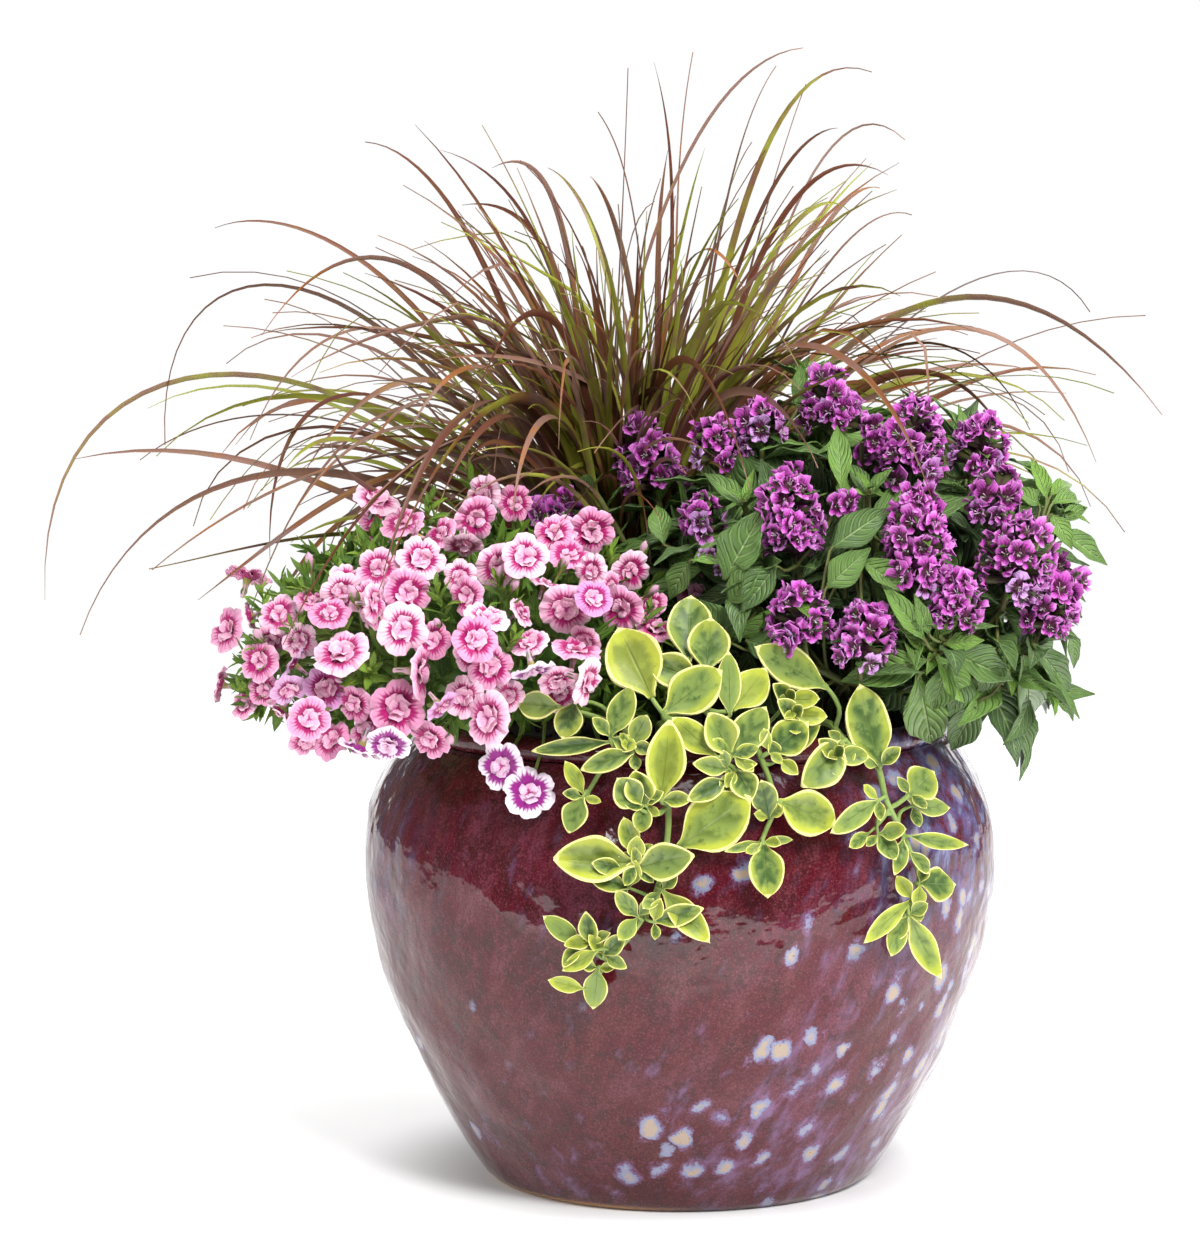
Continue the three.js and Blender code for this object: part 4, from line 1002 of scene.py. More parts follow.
@dataclass(frozen=True)
class BloomLimb:
    """The open lobes of a double bloom: pink or white-edged, round a magenta star."""

    pink: Colour = (0.74, 0.30, 0.49)
    pale: Colour = (0.88, 0.57, 0.70)
    star: Colour = (0.36, 0.003, 0.120)
    white: Colour = (0.84, 0.76, 0.86)
    mauve: Colour = (0.45, 0.22, 0.55)
    violet: Colour = (0.26, 0.008, 0.20)

    def make(self) -> bpy.types.Material:
        """The material."""
        bench = Bench("bloom_limb")
        where, u, v, tint, tone = bench.grown()
        x, y = u * 2 - 1, v * 2 - 1
        out = (x * x + y * y) ** 0.5
        turn = x.maths("ARCTAN2", y)
        cloud = bench.noise(where, 300, 3)
        fine = bench.noise(where, 900, 2)
        lobes = abs((turn * 2.5).sine())
        veins = ((turn * 30 + cloud * 5).sine() * 0.5 + 0.5) ** 3
        white = tone.step(0.80, 0.90)
        reach = out + (cloud - 0.5) * 0.28 - veins * 0.10 + lobes * 0.06 + tint * 0.08 - white * 0.10
        star = 1 - reach.step(0.60, 0.80)
        pale = (out + (cloud - 0.5) * 0.4 + (tint - 0.5) * 0.5).step(0.70, 1.05)
        body = bench.blend(pale, self.pink, self.pale)
        body = bench.blend(white * 0.9, body, self.white)
        body = bench.blend(tone.step(0.62, 0.7) * (1 - white) * 0.5, body, self.mauve)
        eye = bench.blend(tone.step(0.62, 0.9), self.star, self.violet)
        base = bench.blend(veins * (1 - out.step(0.7, 1.0)) * 0.25, body, eye)
        base = bench.blend(star, base, eye)
        height = veins * 0.5 + cloud * 0.6 + fine * 0.2
        return bench.finish(base, 0.58, bench.bump(height, 0.5, 0.0008), Sheen_Weight=0.15)


@dataclass(frozen=True)
class Petal:
    """A ruffled petal that is dark at its claw and paler at its rim."""

    name: str
    claw: Colour
    body: Colour
    rim: Colour
    faded: Colour
    claw_end: float = 0.45
    streak: float = 0.35

    def make(self) -> bpy.types.Material:
        """The material."""
        bench = Bench(self.name)
        where, u, v, tint, tone = bench.grown()
        cloud = bench.noise(where, 420, 3)
        across = abs(u * 2 - 1)
        rays = ((u * 7 * math.pi).sine() * 0.5 + 0.5) ** 2
        edge = v.most(across * 0.9) + (cloud - 0.5) * 0.35
        base = bench.blend(edge.step(0.60, 1.05) * (0.3 + tint * 0.6), self.body, self.rim)
        base = bench.blend(tone.step(0.76, 1.0) * 0.8, base, self.faded)
        base = bench.blend(rays * (1 - v.step(0.3, 0.95)) * self.streak, base, self.claw)
        claw = 1 - (v + (cloud - 0.5) * 0.4 - rays * 0.12).step(self.claw_end * 0.5, self.claw_end * 1.4)
        base = bench.blend(claw, base, self.claw)
        return bench.finish(base, 0.55, bench.bump(cloud + rays * 0.4, 0.5, 0.0008), Sheen_Weight=0.1)


@dataclass(frozen=True)
class Plain:
    """A plain pale finish for hairs and stamens."""

    name: str
    colour: Colour

    def make(self) -> bpy.types.Material:
        """The material."""
        return Bench(self.name).finish(self.colour, 0.6)


@dataclass(frozen=True)
class Blade:
    """A grass blade that runs from olive green into burgundy, darker at its foot: partly the sheath's own
    colour, partly painted shade of the dense clump.
    """

    olive: Colour = (0.185, 0.170, 0.022)
    lime: Colour = (0.320, 0.350, 0.042)
    burgundy: Colour = (0.115, 0.034, 0.022)
    rust: Colour = (0.360, 0.125, 0.030)
    dusk: Colour = (0.185, 0.120, 0.120)
    foot: Colour = (0.048, 0.026, 0.012)

    def make(self) -> bpy.types.Material:
        """The material."""
        bench = Bench("grass_blade")
        where, u, v, tint, tone = bench.grown()
        cloud = bench.noise(where, 24, 3)
        own = bench.value("ShaderNodeCombineXYZ", inputs={0: u * 9, 1: v * 7, 2: tint * 90})
        fine = bench.noise(own, 1, 3)
        green = bench.blend(tone, self.olive, self.lime)
        red = bench.blend(tone.step(0.2, 0.9), self.burgundy, self.rust)
        red = bench.blend((cloud + tone * 0.6).step(0.72, 0.95) * 0.7, red, self.dusk)
        share = (tint * 1.3 + (cloud - 0.5) * 0.9 + (v - 0.5) * 0.25 - 0.12).step(0.36, 0.60)
        base = bench.blend(share, green, red)
        base = bench.blend(fine.step(0.45, 0.8) * 0.25, base, self.lime)
        # Towards its foot the blade is blended to dark brown: partly the sheath's own colour, partly painted
        # shade of the dense clump
        base = bench.blend((1 - v.step(0.0, 0.34)) * 0.6, base, self.foot)
        return bench.finish(base, 0.36 + fine * 0.15)


@dataclass(frozen=True)
class Pale:
    """The floor's plain pale finish, with a painted glow: dim under the planter, brighter round it and
    brightest in front of it.
    """

    colour: Colour = (0.82, 0.82, 0.82)
    shade: Colour = (0.03, 0.03, 0.03)
    glow: Colour = (0.60, 0.60, 0.60)
    front_glow: Colour = (2.2, 2.2, 2.2)

    def make(self) -> bpy.types.Material:
        """The material: it glows away from the planter, so that no horizon shows; the glow is painted light,
        which leaves the planter's shadow only in a short ring round the foot and gives the pot's lower wall a
        brighter reflection from the front.
        """
        bench = Bench("pale_floor")
        _, x, y, _ = bench.place()
        away = (x * x + y * y) ** 0.5
        # Painted light: the glow stays dim only close round the foot, where the shadow shows, and is
        # brightest in front, which the pot's lower wall reflects
        glow = bench.blend(away.step(0.115, 0.22), self.shade, self.glow)
        glow = bench.blend((0 - y).step(0.28, 0.62), glow, self.front_glow)
        return bench.finish(self.colour, 0.8, Emission_Color=glow, Emission_Strength=1.0)


def settle(piece: bpy.types.Object, slot: Slot, *nodes: str) -> bpy.types.Object:
    """Lets a piece ride on the planter and stand for its CAD nodes.

    Args:
        piece: The piece.
        slot: The record's slot, which is not used.
        nodes: The CAD nodes that it stands for.

    Returns:
        The piece.
    """
    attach(piece, BODY)
    if nodes:
        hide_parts(*nodes)
    LOG.info("%s: %d faces", piece.name, len(piece.data.polygons))
    return piece


@dataclass
class Pot:
    """The thrown pot: a profile that was turned, with a hammered surface."""

    height: float = RIM_TOP
    foot: float = 0.116
    belly: float = 0.190
    belly_height: float = 0.192
    neck: float = 0.161
    neck_height: float = 0.271
    rim: float = 0.165
    wall: float = 0.010
    floor: float = 0.014
    drain_circle: float = 0.060
    drain: float = 0.007
    drains: int = 3
    around: int = 128
    level_foot: float = 0.004
    dents: tuple[Pair, ...] = ((0.050, 0.0048), (0.021, 0.0024))

    def radius(self, z: float) -> float:
        """The outer radius at a height below the rim."""
        if z <= self.belly_height:
            bulge = 1 - (1 - z / self.belly_height) ** 1.75
            return self.foot + (self.belly - self.foot) * bulge
        t = min((z - self.belly_height) / (self.neck_height - self.belly_height), 1)
        return self.belly + (self.neck - self.belly) * t**2.6

    def profile(self) -> list[Pair]:
        """The turned outline, as radius and height, up the outside and down the inside."""
        rings = [(self.foot - 0.005, 0.0), (self.foot - 0.001, 0.0012)]
        rings += [(self.radius(z), z) for z in np.linspace(0.005, self.neck_height - 0.004, 46)]
        rings.append((self.neck + 0.0005, self.neck_height))
        half = (self.height - self.neck_height) / 2
        for turn in np.linspace(-75, 150, 10):
            a = math.radians(turn)
            rings.append((self.rim - half + half * math.cos(a), self.height - half + half * math.sin(a)))
        inner = np.linspace(self.neck_height, self.floor + 0.002, 14)
        rings += [(self.radius(z) - self.wall, z) for z in inner]
        rings.append((self.radius(self.floor) - self.wall - 0.008, self.floor))
        return rings

    def build(self) -> bpy.types.Object:
        """Turns the pot ring by ring, hammers its wall, bores its drains and glazes it.

        Returns:
            The pot.
        """
        pot = turned("glazed_pot", self.profile(), self.around)
        self._hammer(pot)
        self._bore(pot)
        pot.data.shade_smooth()
        bpy.ops.object.shade_smooth_by_angle(angle=math.radians(50))
        pot.data.materials.append(Glaze().make())
        return settle(pot, Slot.GLAZE, "pot")

    def _hammer(self, pot: bpy.types.Object) -> None:
        """Gives the outside shallow dents of two sizes, and leaves the foot level."""
        outside = pot.vertex_groups.new(name="outside")
        for v in pot.data.vertices:
            z, radius = v.co.z, math.hypot(v.co.x, v.co.y)
            if self.level_foot < z < self.neck_height and radius > self.radius(z) - self.wall / 2:
                share = min((z - self.level_foot) / 0.03, (self.neck_height - z) / 0.02, 1)
                outside.add([v.index], share, "REPLACE")
        for scale, depth in self.dents:
            dents = bpy.data.textures.new(f"dents_{round(scale / MM)}", "CLOUDS")
            dents.noise_scale = scale
            dents.noise_depth = 1
            apply_modifier(pot, "DISPLACE", texture=dents, texture_coords="LOCAL", strength=depth,
                           mid_level=0.5, vertex_group="outside")

    def _bore(self, pot: bpy.types.Object) -> None:
        """Bores the drain holes."""
        for x, y in circle(self.drains) * self.drain_circle:
            deselect()
            bpy.ops.mesh.primitive_cylinder_add(vertices=32, radius=self.drain, depth=self.floor * 2,
                                                location=(x, y, self.floor / 2))
            bit = bpy.context.object
            apply_modifier(pot, "BOOLEAN", object=bit, operation="DIFFERENCE", solver="EXACT")
            bpy.data.objects.remove(bit)
        activate(pot)


@dataclass
class Soil:
    """The potting soil: it fills the pot, and its top is domed and crumbly."""

    pot: Pot
    edge: float = 0.258
    crown: float = 0.266
    gap: float = 0.0006
    heights: tuple[float, ...] = (0.05, 0.10, 0.15, 0.20, 0.24)
    crumbs: int = 420
    crumb_size: float = 0.008
    crumb_height: float = 0.005

    def build(self) -> bpy.types.Object:
        """Fills the pot and roughens the top.

        Returns:
            The soil.
        """
        low = self.pot.floor + self.gap
        inside = self.pot.wall + self.gap
        rings = [(self.pot.radius(z) - inside - (0.009 if z == low else 0.0015), z)
                 for z in (low, *self.heights, self.edge)]
        edge = rings[-1][0]
        rings += [(edge * share, mix(self.crown, self.edge, share * share))
                  for share in np.linspace(0.985, 0.02, 34)]
        soil = turned("crumbly_soil", rings, 96)
        top = soil.vertex_groups.new(name="top")
        for v in soil.data.vertices:
            if v.co.z > self.edge + 0.0004 and math.hypot(v.co.x, v.co.y) < edge - 0.002:
                top.add([v.index], 1, "REPLACE")
        crumbs = bpy.data.textures.new("crumbs", "CLOUDS")
        crumbs.noise_scale = self.crumb_size
        apply_modifier(soil, "DISPLACE", texture=crumbs, texture_coords="LOCAL",
                       strength=self.crumb_height, mid_level=0.6, vertex_group="top")
        soil.data.shade_smooth()
        soil.data.materials.append(Earth().make())
        self._scatter(soil, edge)
        return settle(soil, Slot.SOIL, "soil")

    def _scatter(self, soil: bpy.types.Object, edge: float) -> None:
        """Joins loose crumbs of bark and peat to the top."""
        draw = Draw(11)
        deselect()
        bpy.ops.mesh.primitive_ico_sphere_add(subdivisions=1, radius=0.5)
        mould = Mould.taken_from(bpy.context.object, 0)
        heap = Heap()
        spots = []
        for _ in range(self.crumbs):
            turn, out = draw(0, 2 * math.pi), edge * 0.95 * math.sqrt(draw())
            base = level(turn) * out + UP * (mix(self.crown, self.edge, (out / edge) ** 2) - 0.0005)
            along, facing = draw.direction(), draw.direction()
            spots.append(Spot(base, along, facing, draw(0.003, 0.008), draw(0.002, 0.004)))
        heap.cast(mould, spots)
        bits = heap.build("crumbs", [soil.data.materials[0]])
        activate(soil, bits)
        bpy.ops.object.join()


Leaf = tuple[float, float, float, float, float]


@dataclass(frozen=True)
class Trail:
    """One trail of the dew plant: its root, its stem in the picture, and each leaf's base, tip and width."""

    root: Pair
    stem: tuple[Pixel, ...]
    leaves: tuple[Leaf, ...]
    rosettes: tuple[Pixel, ...] = ()


TRAILS = (
    Trail((-14, -122), ((668, 726), (690, 700), (700, 676)), (
        (652, 698, 619, 629, 54), (688, 662, 691, 594, 42), (706, 672, 710, 621, 40),
        (700, 680, 649, 662, 32), (664, 713, 722, 671, 44), (730, 716, 727, 653, 24),
        (733, 710, 766, 669, 36))),
    Trail((18, -126), ((716, 740), (724, 752), (728, 766)), (
        (730, 756, 709, 713, 32), (715, 756, 673, 717, 28), (733, 755, 766, 707, 34),
        (727, 770, 692, 764, 18), (727, 780, 688, 800, 20), (736, 770, 752, 800, 26))),
    Trail((-40, -112), ((628, 742), (606, 764), (588, 792)), (
        (610, 737, 632, 686, 26), (631, 746, 649, 713, 22), (575, 702, 562, 737, 28),
        (560, 707, 517, 704, 26), (610, 742, 533, 752, 16), (634, 752, 581, 770, 20),
        (584, 794, 565, 761, 16), (583, 797, 569, 833, 24))),
    Trail((0, -132), ((664, 752), (668, 796), (668, 832), (661, 875), (652, 902), (631, 935), (607, 962),
                      (589, 992)), (
        (661, 800, 669, 720, 36), (640, 809, 616, 777, 30), (646, 806, 634, 772, 28),
        (645, 806, 640, 832, 18), (679, 847, 750, 797, 56), (635, 863, 554, 860, 42),
        (635, 855, 623, 816, 20), (637, 868, 697, 855, 34), (622, 869, 592, 863, 16),
        (629, 888, 589, 876, 18), (638, 917, 616, 891, 18), (662, 890, 710, 945, 26),
        (654, 922, 704, 908, 20), (581, 944, 544, 916, 20), (592, 944, 586, 910, 18),
        (604, 955, 625, 936, 18), (598, 950, 562, 971, 17), (584, 989, 548, 980, 15),
        (598, 968, 592, 1010, 24))),
    Trail((46, -128), ((757, 746), (770, 782), (775, 806), (766, 830), (761, 843)), (
        (769, 752, 808, 724, 36), (779, 759, 821, 719, 20), (769, 818, 760, 777, 26),
        (778, 801, 836, 824, 42), (763, 842, 769, 897, 34), (760, 842, 727, 851, 9),
        (766, 840, 793, 840, 8)), ((788, 700), (794, 716))),
    Trail((74, -120), ((846, 742), (876, 764), (886, 800), (901, 830), (910, 851), (919, 878), (913, 905)), (
        (827, 688, 752, 648, 38), (880, 766, 856, 684, 48), (842, 742, 807, 786, 36),
        (910, 794, 934, 772, 38), (912, 806, 954, 807, 19), (879, 800, 826, 834, 22),
        (869, 833, 849, 847, 14), (878, 834, 896, 860, 20), (903, 839, 897, 873, 15),
        (909, 836, 962, 847, 16), (910, 852, 930, 873, 14), (920, 884, 957, 884, 34),
        (912, 899, 861, 944, 18), (904, 917, 890, 957, 20), (909, 915, 936, 976, 26)), ((836, 756),)),
)


@dataclass
class DewPlant:
    """The variegated dew plant: fleshy stems over the rim, with pairs of spoon leaves."""

    pot: Pot
    root_radius: float = 0.0026
    tip_radius: float = 0.0013
    leaf: LeafKind = LeafKind(SPOON, 6, 14, 0.05, 1.6, 2.1,
                              ((0.20, 0.05, 0.06), (0.36, 0.06, 0.02), (0.05, 0.06, 0.10)))
    shoulder: float = 0.250
    drape_top: float = 0.402
    soil_top: float = 0.268
    young_below: float = 735
    broad: float = 17
    rosette_leaves: int = 5
    drape_gap: float = 0.006
    stem_gap: float = 0.007
    sight_step: float = 0.001
    sight_reach: float = 0.42
    nearest_depth: float = -0.32
    back_depth: float = 0.06

    def drape(self, x: float, y: float, clear: float) -> Array:
        """Where a line of sight meets the trailing plant's drape, this far clear of the wall."""
        ray = PICTURE.sight(x, y)
        start = PICTURE.at_depth(x, y, self.nearest_depth)
        steps = start + ray * np.arange(0, self.sight_reach, self.sight_step)[:, None]
        z = steps[:, 2]
        t = np.clip((z - self.shoulder) / (self.drape_top - self.shoulder), 0, 1)
        over = (self.pot.radius(self.shoulder) + self.drape_gap) * np.sqrt(1 - t * t)
        wall = np.array([self.pot.radius(h) for h in np.clip(z, 0, self.shoulder)])
        limit = np.where(z < self.shoulder, wall, over) + clear
        inside = (np.hypot(steps[:, 0], steps[:, 1]) <= limit) | (steps[:, 1] > self.back_depth)
        return steps[int(np.argmax(inside))]

    def build(self) -> list[bpy.types.Object]:
        """Grows the six trails.

        Returns:
            One piece a trail.
        """
        moulds = self.leaf.moulds()
        leaf = MarginedLeaf().make()
        stem = Stem("dew_plant_stem", (0.28, 0.38, 0.10), (0.16, 0.25, 0.06), 0.32).make()
        return [self._grow(trail, i, moulds, [leaf, stem]) for i, trail in enumerate(TRAILS)]

    def _grow(self, trail: Trail, index: int, moulds: list[Mould],
              finishes: list[bpy.types.Material]) -> bpy.types.Object:
        """Grows one trail: its stem, its listed leaves, and small pairs between them."""
        draw = Draw(700 + index)
        heap = Heap()
        x, y = trail.root[0] * MM, trail.root[1] * MM
        hanging = [self.drape(px, py, self.stem_gap) for px, py in trail.stem]
        rise = vec(x, y, self.pot.height + 0.004)
        over = mix(hanging[0], rise, 0.45)
        over[2] = max(over[2], self.pot.height + 0.009)
        points = [vec(x, y, SOCKET), vec(x, y, self.soil_top), rise, over, *hanging]
        middle = heap.stem(points, self.root_radius, self.tip_radius, 1, 16 + 6 * len(hanging), 8)
        spots: list[list[Spot]] = [[] for _ in moulds]
        for bx, by, tx, ty, width in trail.leaves:
            stand = (9 + 5 * draw()) * MM
            base, tip = self.drape(bx, by, stand), self.drape(tx, ty, stand + 0.007)
            self._leaf(heap, spots, middle, base, tip, width * PICTURE.grain, draw)
            if self.is_clear(bx, by) and width > self.broad:
                self._young_pair(heap, spots, middle, base, tip, draw)
        for x, y in trail.rosettes:
            self._rosette(heap, spots, middle, self.drape(x, y, 0.012), draw)
        heap.cast_each(moulds, spots)
        piece = heap.build(f"dew_trail_{index + 1}", finishes)
        return settle(piece, Slot.DEW_PLANT, f"dew_plant_trail_{index + 1}")

    def _leaf(self, heap: Heap, spots: list[list[Spot]], middle: Array, base: Array, tip: Array,
              width: float, draw: Draw) -> None:
        """Sets one leaf, with a fleshy stalk back to the stem."""
        run = tip - base
        out = unit(vec(base[0], base[1], 0))
        facing = out + PICTURE.toward * 0.8 + UP * 0.35 + draw.direction() * 0.25
        curl = draw(-0.45, 0.35)
        spot = Spot(base, run, facing, float(np.linalg.norm(run)), width, curl, draw(), draw())
        draw.pick(spots).append(spot)
        near = nearest(middle, base)
        gap = float(np.linalg.norm(near - base))
        if gap > 0.003:
            bend = mix(near, base, 0.6) - unit(run) * min(gap * 0.3, 0.006)
            ahead = base + run * 0.06
            heap.stem([near, bend, base, ahead], 0.0015, min(width * 0.06, 0.0014), 1, 8, 6)

    def is_clear(self, x: float, y: float) -> bool:
        """Whether no leaf of the picture lies over a point of the hanging part."""
        for bx, by, tx, ty, width in (leaf for row in TRAILS for leaf in row.leaves):
            run, away = np.array([tx - bx, ty - by]), np.array([x - bx, y - by])
            along = away @ run / (run @ run)
            aside = abs(away[0] * run[1] - away[1] * run[0]) / np.linalg.norm(run)
            if 0.12 < along < 0.95 and aside < width * 0.5:
                return False
        return y > self.young_below

    def _rosette(self, heap: Heap, spots: list[list[Spot]], middle: Array, place: Array, draw: Draw) -> None:
        """Sets the young leaves of a side shoot's tip, on a stalk from the stem."""
        near = nearest(middle, place)
        heap.stem([near, mix(near, place, 0.5) - UP * 0.002, place], 0.0013, 0.0009, 1, 6, 6)
        for i in range(self.rosette_leaves):
            turn = i * GOLDEN_TURN
            out = vec(math.cos(turn), 0, math.sin(turn)) + PICTURE.toward * (0.2 + 0.3 * i)
            length = mix(0.019, 0.010, i / (self.rosette_leaves - 1))
            facing = PICTURE.toward - out * 0.3 + UP * 0.3
            curl, tint, tone = draw(-0.2, 0.4), draw(0.4, 1), draw()
            spots[i % 3].append(Spot(place, out, facing, length, length * 0.62, curl, tint, tone))

    def _young_pair(self, heap: Heap, spots: list[list[Spot]], middle: Array, base: Array, tip: Array,
                    draw: Draw) -> None:
        """Sets two young leaves in a leaf's axil."""
        side = unit(np.cross(tip - base, PICTURE.toward))
        for way in (-1, 1):
            along = unit(tip - base) * draw(-0.2, 0.7) + side * way + PICTURE.toward * 0.3
            length = draw(0.009, 0.017)
            facing = PICTURE.toward + UP * 0.4 + draw.direction() * 0.3
            start = base + unit(along) * 0.001
            draw.pick(spots).append(Spot(start, along, facing, length, length * draw(0.5, 0.68),
                                         draw(-0.3, 0.25), draw(0.4, 1), draw()))


Bloom = tuple[float, float, float, float, float]

BLOOM_CLUSTERS: tuple[tuple[Bloom, ...], ...] = (
    ((402, 522, 43, -0.3, 0.5), (421, 558, 46, -0.1, 0.25), (378, 568, 42, -0.5, 0.5)),
    ((483, 495, 40, 0.1, 0.6), (476, 519, 45, 0.1, 0.3), (463, 546, 38, -0.1, 0.2)),
    ((498, 566, 44, -0.1, 0.3), (526, 557, 44, 0.2, 0.4), (460, 576, 32, -0.4, 0.3)),
    ((554, 533, 38, 0, 0.7), (592, 531, 46, 0.3, 0.3), (569, 554, 42, 0, 0.6)),
    ((591, 571, 34, 0, 0.85), (631, 571, 40, 0.2, 0.75), (621, 609, 44, 0.2, 0.2)),
    ((566, 609, 50, -0.1, 0.1), (594, 598, 36, 0.2, 0.3)),
    ((407, 592, 44, -0.1, 0.6), (376, 603, 38, -0.2, 0.8)),
    ((342, 593, 40, -0.2, 0.8), (331, 613, 40, -0.2, 0.75)),
    ((279, 614, 40, -0.4, 0.5), (249, 616, 26, -0.85, 0.3)),
    ((467, 596, 38, 0, 0.75), (488, 616, 44, 0.1, 0.5), (477, 639, 44, -0.1, 0.2)),
    ((404, 629, 50, 0.1, 0.35), (422, 672, 52, 0, 0.1), (398, 708, 52, 0, -0.1)),
    ((343, 652, 54, -0.2, 0.3), (292, 663, 34, -0.6, -0.1), (326, 688, 42, -0.2, -0.1)),
    ((259, 661, 40, -0.5, 0.1), (219, 684, 36, -0.92, 0), (244, 704, 30, -0.7, -0.4)),
    ((290, 690, 36, -0.5, 0), (279, 712, 32, -0.4, -0.3)),
    ((529, 642, 38, 0.3, 0.1), (576, 648, 48, 0.1, 0), (557, 681, 36, 0.2, -0.2)),
    ((490, 667, 42, 0.1, 0), (534, 672, 42, 0.1, -0.05), (464, 697, 40, 0, -0.1)),
    ((589, 681, 48, 0.1, -0.1), (656, 628, 40, 0.3, 0.1), (695, 591, 44, 0.4, 0.4)),
    ((488, 718, 54, 0.1, -0.2), (443, 707, 36, 0.75, 0), (430, 740, 40, 0.1, -0.3)),
    ((313, 718, 42, -0.3, -0.3), (331, 740, 40, -0.5, -0.5)),
    ((361, 750, 44, -0.2, -0.5), (390, 744, 42, 0, -0.4)),
    ((501, 766, 46, 0, 0), (530, 790, 48, 0.1, 0)),
)
FAR_BLOOMS = (
    ((-0.55, 0.75, 0.35), (-0.3, 0.85, 0.15), (-0.35, 0.6, 0.7)),
    ((-0.95, 0.3, 0.1), (-0.85, 0.25, 0.45), (-0.75, 0.6, -0.1)),
    ((0.15, 0.35, 0.92), (-0.35, 0.1, 0.95), (0, 0.75, 0.55)),
)
WHITE_EDGED = {(534, 672), (361, 750), (501, 766), (530, 790), (390, 744)}
PURPLISH = {(326, 688), (292, 663), (290, 690), (594, 598), (443, 707)}
# Blooms that show between those of the clusters: x, y and width
EXTRA_BLOOMS: tuple[Triple, ...] = (
    (515, 503, 36), (561, 530, 32), (432, 640, 36), (379, 612, 36), (300, 641, 34), (366, 598, 34),
    (347, 579, 34), (545, 582, 32), (612, 588, 32), (560, 694, 36), (470, 655, 32), (508, 696, 32),
    (354, 704, 38), (405, 562, 36), (441, 533, 34), (312, 600, 34), (270, 640, 34), (652, 604, 30),
    (306, 742, 34), (366, 730, 36), (522, 612, 30), (413, 535, 32), (264, 690, 32), (585, 640, 32),
)
# Leafy sprigs that stand up between the blooms
SPRIGS: tuple[Pixel, ...] = (
    (436, 588), (498, 582), (512, 638), (372, 668), (350, 672), (262, 592), (300, 586), (254, 642),
    (330, 628), (611, 556), (648, 610), (468, 470), (430, 500), (384, 640), (360, 545),
    (242, 690), (290, 625),
)
BUDS: tuple[Pixel, ...] = ((311, 568), (301, 613), (356, 601), (439, 624), (503, 626), (561, 569), (641, 555),
                           (648, 594), (396, 651), (343, 681), (449, 735), (500, 580), (262, 640), (512, 590))


